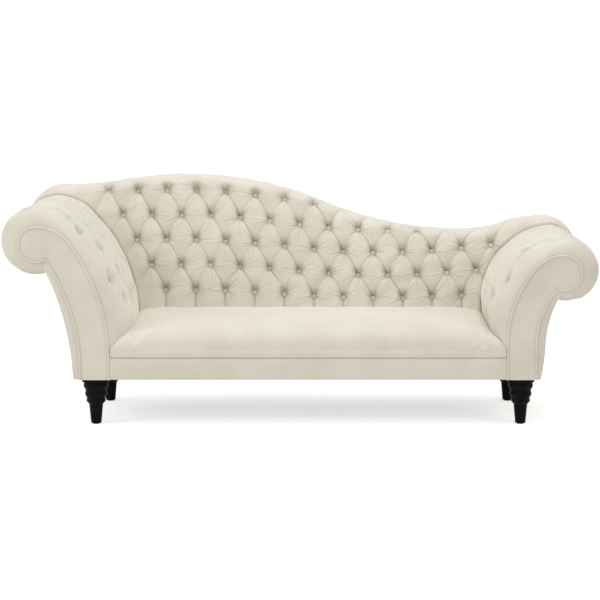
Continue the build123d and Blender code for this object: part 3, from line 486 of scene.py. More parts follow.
@dataclass(frozen=True)
class BackForm:
    """Sizes of the back in mm, on a plane that leans."""

    depth: float = 890.0
    floor: float = 186.0
    lean: float = math.radians(15.0)
    crests: tuple = ((-1030.0, 928.0), (-500.0, 972.0), (695.0, 737.0), (1050.0, 794.0))
    left_end: float = 165.0  # radius of the rounded ends
    right_end: float = 143.0
    pad: float = 100.0
    roll: float = 60.0
    cap_round: float = 28.0
    cap_rear: float = 45.0
    cap_wall: float = 36.0
    pad_bottom: float = 112.0  # inner end of the front face, up the plane
    pad_sides: tuple = (-760.0, 830.0)  # and where it begins and ends
    pad_shares: tuple = (0.0, 0.11, 0.9, 1.0)  # shares of the columns up to each corner

    def top_v(self, z: float) -> float:
        """Distance up the plane of a top roll whose crest stands at height z."""
        crest = self.floor + self.roll + (self.pad - self.roll) * math.sin(self.lean)
        return (z - crest) / math.cos(self.lean) + self.roll

    def up_v(self, z: float, out: float = 0.0) -> float:
        """Distance up the plane of a point at height z and a distance out from it."""
        return (z - self.floor - out * math.sin(self.lean)) / math.cos(self.lean)

    @property
    def foot_y(self) -> float:
        """Depth at which the plane meets the underside of the body."""
        up = (self.top_v(self.crests[1][1]) - self.cap_round) * math.sin(self.lean)
        out = (self.cap_rear - self.cap_round) * math.cos(self.lean) + self.cap_round
        return self.depth / 2 - up - out

    def place(self, x: Array, v: Array, w: Array) -> Array:
        """Points in the object's frame for places on, up and out from the plane.

        Args:
            x: places along the plane.
            v: places up the plane.
            w: distances out from it, towards the front.

        Returns:
            An array of points in mm.
        """
        y = self.foot_y + v * math.sin(self.lean) - w * math.cos(self.lean)
        z = self.floor + v * math.cos(self.lean) + w * math.sin(self.lean)
        return np.stack([x, y, z], axis=-1)

    def depth_at(self, z: Array, w: float) -> Array:
        """Depth y at which a plane w out from the frame stands at height z."""
        return self.foot_y + ((z - self.floor) * math.sin(self.lean) - w) / math.cos(self.lean)

    def crest(self, x: Array) -> tuple[Array, Array]:
        """Top line of the back, as pairs of arcs between level points.

        Args:
            x: places along the back.

        Returns:
            The distance up the plane and the slope at each place.
        """
        x = np.clip(x, self.crests[0][0], self.crests[-1][0])
        v = np.zeros_like(x)
        slope = np.zeros_like(x)
        for (x_0, z_0), (x_1, z_1) in zip(self.crests, self.crests[1:]):
            v_0, v_1 = self.top_v(z_0), self.top_v(z_1)
            here = (x >= x_0) & (x <= x_1)
            rise = v_1 - v_0
            radius = ((x_1 - x_0) ** 2 + rise**2) / (4 * abs(rise))
            away = np.minimum(x - x_0, x_1 - x)
            sag = radius - np.sqrt(np.maximum(radius**2 - away**2, 0))
            first = x - x_0 <= x_1 - x
            sign = math.copysign(1, rise)
            value = np.where(first, v_0 + sign * sag, v_1 - sign * sag)
            v = np.where(here, value, v)
            tilt = sign * away / np.sqrt(np.maximum(radius**2 - away**2, 1))
            slope = np.where(here, tilt, slope)
        return v, slope


BACK = BackForm()


# Scroll arms


@dataclass(frozen=True)
class ArmForm:
    """Front view of one scroll arm in mm, with u outwards from the middle and z up."""

    name: str
    side: int
    base: float
    straight: float
    shoulder: float
    lobe_u: float
    lobe_z: float
    bow: float
    bow_from: float
    roll_r: float
    roll_z: float
    pad: float
    pad_straight: float
    pad_shoulder: float
    first_row: float
    rows: int
    belly: float  # how far the padded outside panel swells at mid height
    toe: float  # and at its foot
    lobe_r: float = 70.0
    width: float = 115.0
    pad_bottom: float = 300.0
    half_width: float = 1200.0
    outside: float = 27.0
    front: float = -445.0

    @property
    def outer(self) -> float:
        """Outer edge of the facing at its foot."""
        return self.base + self.width

    @property
    def roll_u(self) -> float:
        """Middle of the padded scroll."""
        return self.half_width - self.roll_r

    def outer_edge(self, z: Array, outward: float) -> Array:
        """Outer edge of the facing, moved outwards, at height z."""
        reach = np.maximum(z - self.bow_from, 0)
        return self.outer + self.bow - np.sqrt((self.bow - outward) ** 2 - reach**2)

    def bend(self, foot: tuple, top: tuple, shoulder: float) -> tuple[float, float]:
        """Radius and sweep of the large arc between an upright foot and the shoulder."""
        across, rise = top[0] - foot[0], top[1] - foot[1]
        radius = (across**2 + rise**2 - 2 * rise * shoulder) / (2 * (across - shoulder))
        sweep = math.atan2(rise - shoulder, foot[0] + radius - top[0])
        return radius, sweep

    def outline(self, padded: bool, counts: Sequence[int], end: float) -> tuple[Array, Array]:
        """Inner edge, shoulder and scroll as one line of points.

        Args:
            padded: True for the padded arm, False for the facing.
            counts: points on the upright, the bend, the shoulder and the scroll.
            end: angle in degrees at which the scroll ends.

        Returns:
            The points and the way the surface faces at each.
        """
        if padded:
            foot = (self.base - self.pad, self.pad_straight)
            centre, radius, shoulder = (self.roll_u, self.roll_z), self.roll_r, self.pad_shoulder
            low = self.pad_bottom
        else:
            foot = (self.base, self.straight)
            centre, radius, shoulder = (self.lobe_u, self.lobe_z), self.lobe_r, self.shoulder
            low = BACK.floor
        top = (centre[0], centre[1] + radius)
        big, sweep = self.bend(foot, top, shoulder)
        points, facing = [], []

        def arc(middle: tuple, size: float, start: float, stop: float, count: int) -> None:
            """Add an arc; angles turn from facing the middle towards facing up."""
            for turn in np.linspace(start, stop, count, endpoint=False):
                way = (-math.cos(turn), math.sin(turn))
                points.append((middle[0] + size * way[0], middle[1] + size * way[1]))
                facing.append(way)

        for z in np.linspace(low, foot[1], counts[0], endpoint=False):
            points.append((foot[0], z))
            facing.append((-1.0, 0.0))
        arc((foot[0] + big, foot[1]), big, 0.0, sweep, counts[1])
        arc((top[0], top[1] - shoulder), shoulder, sweep, math.pi / 2, counts[2])
        arc(centre, radius, math.pi / 2, math.radians(180.0 - end), counts[3])
        return np.array(points), np.array(facing)

    def run_of(self, points: Array) -> Array:
        """Distance along the padded arm from the top of its upright foot."""
        steps = np.hypot(*np.diff(points, axis=0).T)
        run = np.concatenate([[0.0], np.cumsum(steps)])
        return run - (self.pad_straight - self.pad_bottom)

    def outside_distance(self, u: Array, z: Array) -> Array:
        """Distance of points from the padded arm, less than nought inside it."""
        foot = (self.base - self.pad, self.pad_straight)
        top = (self.roll_u, self.roll_z + self.roll_r)
        big, sweep = self.bend(foot, top, self.pad_shoulder)
        low = foot[0] - u
        turn_big = np.hypot(u - foot[0] - big, z - foot[1]) - big
        middle_z = top[1] - self.pad_shoulder
        turn_shoulder = np.hypot(u - top[0], z - middle_z) - self.pad_shoulder
        scroll = np.hypot(u - self.roll_u, z - self.roll_z) - self.roll_r
        angle = np.arctan2(z - foot[1], foot[0] + big - u)
        inner = np.where(z < foot[1], low, np.where(angle < sweep, turn_big, turn_shoulder))
        return np.where(u > self.roll_u, scroll, inner)


LEFT = ArmForm(
    name="left", side=-1, base=770.0, straight=260.0, shoulder=170.0, lobe_u=1057.0, lobe_z=732.0,
    bow=799.0, bow_from=230.0, roll_r=135.0, roll_z=742.0, pad=66.0, pad_straight=334.0,
    pad_shoulder=208.0, first_row=165.0, rows=7, belly=14.0, toe=4.0,
)
RIGHT = ArmForm(
    name="right", side=1, base=834.0, straight=330.0, shoulder=150.0, lobe_u=1059.0, lobe_z=618.0,
    bow=344.0, bow_from=330.0, roll_r=125.0, roll_z=625.0, pad=56.0, pad_straight=424.0,
    pad_shoulder=226.0, first_row=86.0, rows=5, belly=15.0, toe=-5.0,
)
ARMS = (LEFT, RIGHT)


def held_at(shape: Shape, along: tuple[float, float], across: tuple[float, float], clear: float) -> Shape:
    """Say how firmly a cover is held while it swells.

    Args:
        shape: the cover.
        along: range of its first direction in which it is free.
        across: range of its second direction in which it is free.
        clear: distance in mm from an arm within which it is held.

    Returns:
        Weights from nought for free to one for held, more in the folds.
    """

    def weight(a: Array, b: Array) -> Array:
        """Weights at places in both directions."""
        points = shape(a, b)
        firm = np.clip(FOLD_HOLD * points[:, 3], 0, 1)
        for arm in ARMS:
            firm[arm.outside_distance(arm.side * points[:, 0], points[:, 2]) < clear] = 1.0
        firm[(a < along[0]) | (a > along[1]) | (b < across[0]) | (b > across[1])] = 1.0
        return firm

    return weight


# Diamond tufting


@dataclass
class Tufting:
    """Buttons and the creases between them, on a surface laid flat in mm."""

    spots: dict  # row and column to a place on the surface
    button_depth: float
    button_reach: float
    crease_depth: float
    pillow_depth: float
    pillow_reach: float
    tails: tuple  # extra creases as two places and a strength
    fold: float  # how far one lip of a crease stands over the other
    wrinkle: float  # height of the wrinkles round a button
    rim: float  # how dark the shade painted in a dimple is
    bow: float = 9.0  # rise of a crease between its buttons
    crease_width: float = 4.5
    line_width: float = 3.0  # of the dark line of painted shade in a crease
    lip_width: float = 9.0
    ray_length: float = 26.0  # of the wrinkles round a button
    ray_start: float = 15.0
    middle: float = 0.4  # strength left in the middle of a crease
    crease_shade: float = 0.2
    line_shade: float = 0.42
    ray_shade: float = 0.55
    dimple_lift: float = 3.5  # how far a dimple's deepest place lies above its button

    def creases(self) -> list[tuple[Array, Array, float]]:
        """Every crease as its two ends and how strongly it is drawn."""
        found = []
        chance = np.random.default_rng(SEED)
        for (row, column), spot in self.spots.items():
            for step, strength in ((1, 1.0), (-1, 0.55)):
                other = self.spots.get((row + 1, column + step))
                if other is not None:
                    drawn = strength * chance.uniform(0.6, 1.05)
                    found.append((np.array(spot), np.array(other), drawn))
        found.extend((np.array(a), np.array(b), strength) for a, b, strength in self.tails)
        return found

    def relief(self, x: Array, s: Array) -> tuple[Array, Array]:
        """How far the surface is drawn in, and how much shade is painted in its creases and dimples.

        Args:
            x: places along the surface.
            s: places up the surface.

        Returns:
            Depth in mm, and nearness to a fold or button from nought to one.
        """
        sharp, line = np.zeros_like(x), np.zeros_like(x)
        near = np.full_like(x, 1e6)
        share = np.ones_like(x)
        lip = np.zeros_like(x)
        tail_count = len(self.tails)
        creases = self.creases()
        for index, (start, end, strength) in enumerate(creases):
            along = end - start
            length = np.hypot(*along)
            along = along / length
            dx, ds = x - start[0], s - start[1]
            run = np.clip((dx * along[0] + ds * along[1]) / length, 0, 1)
            ds = ds - self.bow * 4 * run * (1 - run)
            run = np.clip((dx * along[0] + ds * along[1]) / length, 0, 1)
            side = dx * -along[1] + ds * along[0]
            away = np.hypot(dx - run * length * along[0], ds - run * length * along[1])
            if index >= len(creases) - tail_count:
                weight = 1.0 - 0.4 * run
            else:
                weight = self.middle + (1 - self.middle) * np.abs(2 * run - 1) ** 1.8
            sharp = np.maximum(sharp, strength * weight * np.exp(-away / self.crease_width))
            thin = np.exp(-((away / self.line_width) ** 2))
            line = np.maximum(line, strength**2 * weight * thin)
            closer = away < near
            near = np.where(closer, away, near)
            share = np.where(closer, weight * (0.6 + 0.4 * strength), share)
            raised = np.exp(-away / self.lip_width) * np.minimum(away / self.line_width, 1)
            lip = np.where(closer, -np.sign(side) * strength * raised, lip)
        total = self.crease_depth * sharp
        total += self.pillow_depth * share * np.clip(1 - near / self.pillow_reach, 0, 1) ** 1.6
        total += self.fold * lip
        pulls, painted_button_shade = self.pulls(x, s)
        # Painted shade: darker along the creases, in their thin dark lines, in the dimples and on the
        # wrinkles
        shade = self.crease_shade * sharp**1.5 + self.line_shade * line + painted_button_shade
        return total + pulls, np.clip(shade, 0, 1)

    def pulls(self, x: Array, s: Array) -> tuple[Array, Array]:
        """Dimples at the buttons with the short wrinkles that run out from them, and the shade painted on
        both.
        """
        total = np.zeros_like(x)
        painted_button_shade = np.zeros_like(x)
        chance = np.random.default_rng(SEED)
        for spot in self.spots.values():
            lean, count = chance.uniform(0, 6.28), chance.integers(15, 21)
            dx, ds = x - spot[0], s - spot[1]
            away = np.hypot(dx, ds)
            close = away < 5 * self.button_reach
            r = away[close]
            turn = np.arctan2(ds[close], dx[close])
            wide = self.button_reach * (1 + 0.4 * smooth(ds[close] / 25.0))
            off = dx[close] ** 2 + (ds[close] - self.dimple_lift) ** 2
            pull = self.button_depth * np.exp(-off / wide**2)
            rays = 2 * (0.5 + 0.5 * np.cos(count * turn + lean)) ** 3 - 0.6
            rays *= 0.7 + 0.5 * np.cos(5 * turn + 2 * lean)
            reach = np.exp(-r / self.ray_length) * (1 - np.exp(-((r / self.ray_start) ** 2)))
            reach *= 0.95 + 0.1 * np.sin(turn)
            total[close] += pull + self.wrinkle * rays * reach
            # Painted shade in the dimple and on the wrinkles round the button
            painted_button_shade[close] += self.rim * np.exp(-((r / wide) ** 2))
            painted_button_shade[close] += self.ray_shade * np.maximum(rays, 0) * reach
        return total, painted_button_shade


def back_tufting() -> Tufting:
    """Buttons of the back: rows that sag towards the low end and turn over the top roll.

    Returns:
        The tufting in places along the back and up its padded surface.
    """
    counts = (8, 11, 13, 12, 11)
    first_x, lowest_z, row_pitch = -842.0, 482.0, 110.0
    sag_x, sag_reach, sag, more_sag = 350.0, 850.0, 35.0, 11.0
    low = len(counts) - 1
    spots = {}
    for row, count in enumerate(counts):
        level = low - row
        for column in range(row, row + 2 * count, 2):
            x = first_x + BUTTON_PITCH * column
            away = min(abs(x - sag_x) / sag_reach, 1)
            drop = (sag + more_sag * level) * (1 + math.cos(math.pi * away)) / 2
            v = BACK.up_v(lowest_z, BACK.pad) + row_pitch * level - drop
            spots[row, column] = (x, surface_run(x, v))
    tails = [(spot, (spot[0], spot[1] - 150.0), 0.9) for (row, _), spot in spots.items() if row == low]
    for (row, column), (x, run) in spots.items():
        for beside in (-1, 1):
            for below in (-1, 1):
                if 0 <= row + below <= low and (row + below, column + beside) not in spots:
                    end = (x + BUTTON_PITCH * beside, run - row_pitch * below)
                    tails.append(((x, run), end, 0.45))
    return Tufting(
        spots, button_depth=19.0, button_reach=15.0, crease_depth=8.0, pillow_depth=15.0,
        pillow_reach=46.0, tails=tuple(tails), fold=3.0, wrinkle=5.2, rim=0.75,
    )


def surface_run(x: float, v: float) -> float:
    """Distance up the padded surface of a button that stands v up the plane."""
    top, slope = (float(value) for value in BACK.crest(x))
    roll = BACK.roll * math.sqrt(1 + slope**2)
    tilt = min(max(0.0, 1 - (top - v) / roll), 0.8)
    return v if tilt == 0.0 else top - roll + roll * math.asin(tilt)


@dataclass
class Back:
    """Tufted inside back with its wrapped top roll, and the panel behind it."""

    shop: Workshop
    rows: tuple[int, ...] = (204, 36, 8, 8, 2)  # face, front rounding, top, rear rounding, rear edge
    columns: tuple[int, ...] = (40, 56, 840)  # each side, each end, top line
    curve: int = 14  # columns on the curve between a side and its end
    curve_drop: float = 46.0  # height of that curve
    end_from: int = -68  # angle in degrees at which the rounded ends begin
    button_raise: float = 9.0
    tuck_round: float = 20.0  # rounding where the cover tucks in behind the arms
    tuck_drop: float = 26.0
    hidden: float = -60.0  # distance given to points under an arm
    unevenness: float = 1.2

    def side_line(
        self, arm: ArmForm, radius: float, crest: tuple, count: int, turns: int
    ) -> tuple[Array, Array]:
        """Side and rounded end of the back, from the foot to the start of the top line.

        Args:
            arm: arm on that side.
            radius: radius of the rounded end.
            crest: top point of the rounded end as x and z.
            count: points on the side.
            turns: points on the rounded end.

        Returns:
            Points outwards and up, and the inward way at each.
        """
        centre = np.array([abs(crest[0]), BACK.top_v(crest[1]) - radius])
        foot = arm.outer + arm.outside
        low, high = BACK.up_v(arm.bow_from), BACK.up_v(arm.lobe_z)
        across = float(arm.outer_edge(arm.lobe_z, arm.outside)) - foot
        bow = (across**2 + (high - low) ** 2) / (2 * across)

        def edge(v: float) -> float:
            """Outward place of the side at v."""
            return foot + bow - math.sqrt(bow**2 - max(v - low, 0) ** 2)

        leave = centre[1] - radius - self.curve_drop
        start = np.array([edge(leave), leave])
        begin = math.radians(self.end_from)
        finish = centre + radius * np.array([math.cos(begin), math.sin(begin)])
        corner = np.array([edge(centre[1] - radius), centre[1] - radius - 2.0])
        points = [(edge(v), v) for v in np.linspace(0, leave, count - self.curve, endpoint=False)]
        for t in np.linspace(0, 1, self.curve, endpoint=False):
            points.append((1 - t) ** 2 * start + 2 * t * (1 - t) * corner + t**2 * finish)
        for turn in np.radians(np.linspace(self.end_from, 90, turns, endpoint=False)):
            points.append(centre + radius * np.array([math.cos(turn), math.sin(turn)]))
        points = np.array(points)
        tangent = np.gradient(points, axis=0)
        tangent /= np.hypot(*tangent.T)[:, None]
        inward = np.stack([-tangent[:, 1], tangent[:, 0]], axis=-1)
        return points, inward

    def rim(self) -> tuple[Array, Array, Array, Array]:
        """Outline of the back from foot to foot.

        Returns:
            Places on the plane, the inward way at each, the inner end of each column on the
            front face, and whether a column belongs to the top line.
        """
        side, end, top = self.columns
        left, left_in = self.side_line(LEFT, BACK.left_end, BACK.crests[0], side, end)
        right, right_in = self.side_line(RIGHT, BACK.right_end, BACK.crests[-1], side, end)
        mirror = np.array([-1.0, 1.0])
        x = np.linspace(BACK.crests[0][0], BACK.crests[-1][0], top + 1)
        v, slope = BACK.crest(x)
        line = np.stack([x, v], axis=-1)
        line_in = np.stack([np.zeros_like(x), -np.sqrt(1 + slope**2)], axis=-1)
        points = np.concatenate([left * mirror, line, right[::-1]])
        inward = np.concatenate([left_in * mirror, line_in, right_in[::-1]])
        left_middle = np.array([BACK.crests[0][0], BACK.top_v(BACK.crests[0][1]) - BACK.left_end])
        right_middle = np.array([BACK.crests[-1][0], BACK.top_v(BACK.crests[-1][1]) - BACK.right_end])
        corners = [(x_end, BACK.pad_bottom) for x_end in BACK.pad_sides]
        path = np.array([left_middle, *corners, right_middle])
        inner_x = np.interp(np.linspace(0, 1, top + 1), BACK.pad_shares, path[:, 0])
        inner_v = np.interp(inner_x, path[:, 0], path[:, 1])
        inner = np.stack([inner_x, inner_v], axis=-1)
        left_inner = np.repeat(left_middle[None], len(left), axis=0)
        right_inner = np.repeat(right_middle[None], len(right), axis=0)
        left_inner[:side] = (left * mirror + left_in * mirror * BACK.cap_wall)[:side]
        right_inner[-side:] = (right + right_in * BACK.cap_wall)[::-1][-side:]
        inner = np.concatenate([left_inner, inner, right_inner])
        is_top = np.concatenate([np.zeros(len(left)), np.ones(top + 1), np.zeros(len(right))])
        return points, inward, inner, is_top

    def cover_shape(self) -> tuple[int, int, Shape]:
        """Columns, rows and shape of the tufted cover."""
        points, inward, inner, is_top = self.rim()
        tufts = back_tufting()
        columns = len(points) - 1
        rows = sum(self.rows)
        edges = np.concatenate([[0], np.cumsum(self.rows)])
        nap = Ripples(90.0, 1)

        def shape(a: Array, b: Array) -> Array:
            """Points of the cover for places along the outline and round the section."""
            column = np.rint(a * columns).astype(int)
            row = np.rint(b * rows)
            p, d, q, top = points[column], inward[column], inner[column], is_top[column]
            stage = np.clip(np.searchsorted(edges, row, side="right") - 1, 0, 4)
            t = (row - edges[stage]) / np.array(self.rows)[stage]
            t = np.clip(t, 0, 1)
            angle = t * np.pi / 2
            inset = np.choose(
                stage,
                [
                    np.full_like(t, BACK.roll),
                    BACK.roll * (1 - np.sin(angle)),
                    np.zeros_like(t),
                    BACK.cap_round * (1 - np.cos(angle)),
                    BACK.cap_round + t * (BACK.cap_wall - BACK.cap_round),
                ],
            )
            out = np.choose(
                stage,
                [
                    np.full_like(t, BACK.pad),
                    BACK.pad - BACK.roll * (1 - np.cos(angle)),
                    BACK.pad - BACK.roll - t * (BACK.pad - BACK.roll + BACK.cap_rear - BACK.cap_round),
                    -BACK.cap_rear + BACK.cap_round * (1 - np.sin(angle)),
                    np.full_like(t, -BACK.cap_rear),
                ],
            )
            flat = p + d * inset[:, None]
            face = stage == 0
            flat[face] = q[face] + (flat[face] - q[face]) * t[face, None]
            x, v = flat[:, 0], flat[:, 1]
            steep = np.where(stage == 1, angle, np.where(stage == 0, 0.0, np.pi / 2))
            stretch = np.hypot(d[:, 0], d[:, 1])
            run = np.where(stage == 0, v, p[:, 1] - BACK.roll * stretch + BACK.roll * stretch * steep)
            # fold carries the shade painted in the creases and dimples onto the cover
            drawn, fold = tufts.relief(x, run)
            shown = top * (stage <= 1) * (1 - smooth((steep - 1.1) / 0.4))
            drawn, fold = drawn * shown, fold * shown
            drawn = drawn + self.unevenness * nap.at(x, run) * (stage <= 2)
            out = out - drawn * np.cos(steep)
            push = drawn * np.sin(steep) * (stage == 1)
            x = x + d[:, 0] * push
            v = v + d[:, 1] * push
            spot = BACK.place(x, v, out)
            for arm in ARMS:
                away = arm.outside_distance(arm.side * spot[:, 0], spot[:, 2])
                below = (arm.side * spot[:, 0] > arm.outer) & (spot[:, 2] < arm.roll_z)
                away = np.where(below, self.hidden, away)
                edge = rounding(away, self.tuck_round)
                under = smooth(-(away + 4.0) / 10.0)
                tucked = np.maximum(out - self.tuck_drop * edge, np.minimum(out, 0.0))
                out = tucked * (1 - under) + np.minimum(tucked, -2.0) * under
            return np.concatenate([BACK.place(x, v, out), fold[:, None]], axis=-1)

        return columns, rows, shape

    def build(self) -> None:
        """Make the cover, its buttons and the rear panel."""
        columns, rows, shape = self.cover_shape()
        held = held_at(shape, along=(0.1, 0.9), across=(0.03, 0.88), clear=12.0)
        shape = self.shop.swell(columns // 3, rows // 3, shape, held, pressure=4.0, cap=9.0)
        self.shop.padding("tufted_back", columns, rows, shape, "back_cover", 0.8)
        self.buttons()
        panel = self.shop.softened("rear_panel", "outside_back", 5.0)
        self.shop.dress(panel, Slot.VELVET, ("outside_back",), 0.9)

    def buttons(self) -> None:
        """Make the covered buttons of the back."""
        tufts = back_tufting()
        places = []
        for x, run in tufts.spots.values():
            depth = float(tufts.relief(np.array([x]), np.array([run]))[0][0]) - self.button_raise
            top, slope = (float(value) for value in BACK.crest(x))
            roll = BACK.roll * math.sqrt(1 + slope**2)
            turn = max(0.0, (run - (top - roll)) / roll)
            up, forward = math.sin(turn), math.cos(turn)
            v = run if turn == 0 else top - roll + roll * up
            out = BACK.pad - BACK.roll * (1 - forward)
            spot = BACK.place(x, v - depth * up, out - depth * forward)
            places.append((spot, BACK.place(x, up, forward) - BACK.place(x, 0.0, 0.0)))
        piece = covered_buttons(self.shop, "back_buttons_velvet", places)
        self.shop.dress(piece, Slot.VELVET, ("back_buttons",), 0.9)


def covered_buttons(
    shop: Workshop, name: str, places: Sequence[tuple[Array, Array]]
) -> bpy.types.Object:
    """Make a set of domed buttons.

    Args:
        shop: workshop that makes pieces.
        name: name of the set.
        places: middle of each button in mm and the way it faces.

    Returns:
        The new object.
    """
    bm = bmesh.new()
    for spot, facing in places:
        turn = Vector(facing).to_track_quat("Z", "Y").to_matrix().to_4x4()
        size = Matrix.Diagonal((BUTTON_RADIUS * MM, BUTTON_RADIUS * MM, BUTTON_HEIGHT * MM, 1.0))
        bmesh.ops.create_uvsphere(
            bm, u_segments=14, v_segments=8, radius=1.0,
            matrix=Matrix.Translation(Vector(spot) * MM) @ turn @ size,
        )
    return shop.piece(name, bm)


@dataclass
class Arm:
    """One scroll arm: tufted inside, rolled scroll, facing with its welt, and outside panel."""

    shop: Workshop
    form: ArmForm
    counts: tuple[int, ...] = (6, 50, 62, 111)  # columns on the upright, bend, shoulder and scroll
    front_rows: int = 18
    depth_rows: int = 132
    end_rows: int = 6  # rows that close the rear end of the scroll
    closed_by: float = 50.0  # how far they turn inwards
    scroll_end: float = -150.0  # angle in degrees at which the padded scroll ends
    edge_points: int = 150  # points on each edge of the facing
    front_round: tuple = (60.0, 135.0)  # rounding at the front on the scroll, and more on the inside
    front_full: float = 18.0
    first_column: float = 78.0
    row_pitch: float = 115.0
    button_raise: float = 6.0

    @property
    def tuck(self) -> float:
        """Angle in degrees at which the facing's outer edge meets the lobe."""
        form = self.form
        across = form.outer + form.bow - form.lobe_u
        drop = form.bow_from - form.lobe_z
        apart = math.hypot(across, drop)
        along = (form.lobe_r**2 - form.bow**2 + apart**2) / (2 * apart)
        return math.degrees(math.atan2(drop, across) - math.acos(along / form.lobe_r))

    def lines(self) -> tuple[Array, Array, Array, Array]:
        """Outlines that the cover is drawn between.

        Returns:
            The padded outline, the facing's outline, the way the pad faces, and the run along it.
        """
        pad, facing = self.form.outline(True, self.counts, self.scroll_end)
        core, _ = self.form.outline(False, self.counts, self.tuck)
        return pad, core, facing, self.form.run_of(pad)

    def tufting(self) -> Tufting:
        """Buttons of the inside arm, as depth and run along the pad."""
        form = self.form
        spots = {}
        pad, _, _, run = self.lines()
        for row in range(form.rows):
            here = form.first_row + self.row_pitch * row
            rear = float(BACK.depth_at(np.interp(here, run, pad[:, 1]), BACK.pad)) - 45.0
            column = 1 - row % 2
            while (y := form.front + self.first_column + BUTTON_PITCH * column) < rear:
                spots[row, column] = (y, here)
                column += 2
        return Tufting(
            spots, button_depth=18.0, button_reach=11.5, crease_depth=8.5, pillow_depth=12.0,
            pillow_reach=42.0, tails=(), fold=1.6, wrinkle=3.0, rim=0.9,
        )

    def reach(self, s: Array, run: Array) -> tuple[Array, Array]:
        """How the cover rounds over at the front: long and full inside, short on the scroll.

        Args:
            s: places along the outline.
            run: run of every point of the outline.

        Returns:
            Depth of the rounding and extra fullness behind it, in mm.
        """
        top_run = run[sum(self.counts[:3])]
        inside = 1 - smooth((s - top_run + 260.0) / 240.0)
        short, more = self.front_round
        return short + more * inside, self.front_full * inside * smooth((s + 60.0) / 150.0)

    def fullness(self, along: Array) -> Array:
        """Share of the front's fullness that is left along the arm."""
        return 1 - smooth((along - 0.15) / 0.8)

    def spot(self, y: float, s: float) -> tuple[Array, Array]:
        """Place of a button and the way it faces.

        Args:
            y: depth of the button.
            s: its run along the outline.

        Returns:
            Point on the undrawn surface, and its outward way.
        """
        form = self.form
        *outlines, run = self.lines()
        p, w, n = (np.array([np.interp(s, run, line[:, i]) for i in (0, 1)]) for line in outlines)
        reach, full = self.reach(s, run)
        begin = form.front + FRONT_GAP
        turn = math.acos(min(max(1 - (y - begin) / reach, 0.0), 1.0))
        thick = float((p - w).dot(n)) + full
        rear = BACK.depth_at(p[1], REAR_GAP)
        along = max(0.0, (y - begin - reach) / (rear - begin - reach))
        p = p + n * full * self.fullness(along)
        flat = w + (p - w) * math.sin(turn)
        lean = math.atan2(thick * math.cos(turn), reach * math.sin(turn))
        way = np.array([form.side * n[0] * math.cos(lean), -math.sin(lean), n[1] * math.cos(lean)])
        return np.array([form.side * flat[0], y, flat[1]]), way

    def cover_shape(self) -> Shape:
        """Shape of the tufted inside arm and scroll."""
        form = self.form
        pad, core, facing, run = self.lines()
        tufts = self.tufting()
        folds = Ripples(16.0, 2 + form.side)
        nap = Ripples(80.0, 4 + form.side)
        columns = len(pad) - 1
        rows = self.front_rows + self.depth_rows
        begin = form.front + FRONT_GAP
        reaches, extra = self.reach(run, run)

        def shape(a: Array, b: Array) -> Array:
            """Points of the arm for places along its outline and from front to rear."""
            column = np.rint(a * columns).astype(int)
            row = np.rint(b * rows)
            p, w, n, s = pad[column], core[column], facing[column], run[column]
            reach = reaches[column]
            turn = np.clip(row / self.front_rows, 0, 1) * np.pi / 2
            along = np.clip((row - self.front_rows) / (self.depth_rows - self.end_rows), 0, 1)
            closing = np.clip((row - rows + self.end_rows) / self.end_rows, 0, 1)
            rear = BACK.depth_at(p[:, 1], REAR_GAP)
            y = begin + reach * (1 - np.cos(turn)) + along * (rear - begin - reach)
            full = extra[column] * self.fullness(along)
            p = p + n * full[:, None]
            flat = w + (p - w) * np.sin(turn)[:, None]
            # fold carries the shade painted in the creases and dimples onto the cover
            drawn, fold = tufts.relief(y, s)
            shown = smooth((y - begin - 20.0) / 55.0)
            drawn, fold = drawn * shown, fold * shown
            # Fine pleats behind the front edge, in uneven patches
            waves = np.abs(np.sin(y / 8.0 + 0.9 * folds.at(s / 9.0, y / 3.0)))
            pleats = (1 - waves) ** 2 * smooth((y - begin - 40) / 30)
            pleats *= np.exp(-(((y - begin - 105.0) / 45.0) ** 2)) * smooth((s - 120.0) / 80.0)
            pleats *= smooth(folds.at(s / 14.0, y / 6.0))
            drawn = drawn + 3.5 * pleats + nap.at(s, y) * np.sin(turn)
            # Painted shade in the hollows of the pleats
            fold = np.clip(fold + 0.6 * pleats, 0, 1)
            drawn = drawn + self.closed_by * (1 - np.cos(closing * np.pi / 2))
            flat = flat - n * drawn[:, None]
            return np.stack([form.side * flat[:, 0], y, flat[:, 1], fold], axis=-1)

        return shape

    def edges(self, count: int) -> tuple[Array, Array]:
        """Inner and outer edge of the facing, both from the foot to where they meet.

        Args:
            count: points on each edge.

        Returns:
            The two edges as outward place and height.
        """
        form = self.form
        part = count // 4
        inner, _ = form.outline(False, (part, part, part, count), self.tuck)
        end = math.radians(self.tuck)
        lobe = np.array([form.lobe_u, form.lobe_z])
        meeting = lobe + form.lobe_r * np.array([math.cos(end), math.sin(end)])
        z = np.linspace(BACK.floor, meeting[1], count)
        outer = np.stack([form.outer_edge(z, 0.0), z], axis=-1)
        return np.concatenate([inner, meeting[None]]), np.concatenate([outer[:-1], meeting[None]])

    def facing_shape(self) -> tuple[int, int, Shape]:
        """Columns, rows and shape of the flat facing, slightly domed."""
        form = self.form
        inner, outer = self.edges(self.edge_points)
        stem = 3 * (self.edge_points // 4)
        where = np.interp(np.arange(len(inner)), (0, stem), (0, len(outer) - 1))
        other = np.stack([np.interp(where, np.arange(len(outer)), outer[:, i]) for i in (0, 1)], axis=-1)
        border = np.concatenate([inner, outer])
        columns, rows = len(inner) - 1, 26
        height, spread, inset = 4.5, 10.0, 7.0

        def shape(a: Array, b: Array) -> Array:
            """Points of the facing for places along and across it."""
            column = np.rint(a * columns).astype(int)
            flat = inner[column] + (other[column] - inner[column]) * b[:, None]
            gap = flat[:, None] - border[None]
            away = np.min(np.hypot(gap[..., 0], gap[..., 1]), axis=1)
            dome = height * (1 - np.exp(-away / spread))
            y = form.front + inset - dome
            return np.stack([form.side * flat[:, 0], y, flat[:, 1]], axis=-1)

        return columns, rows, shape

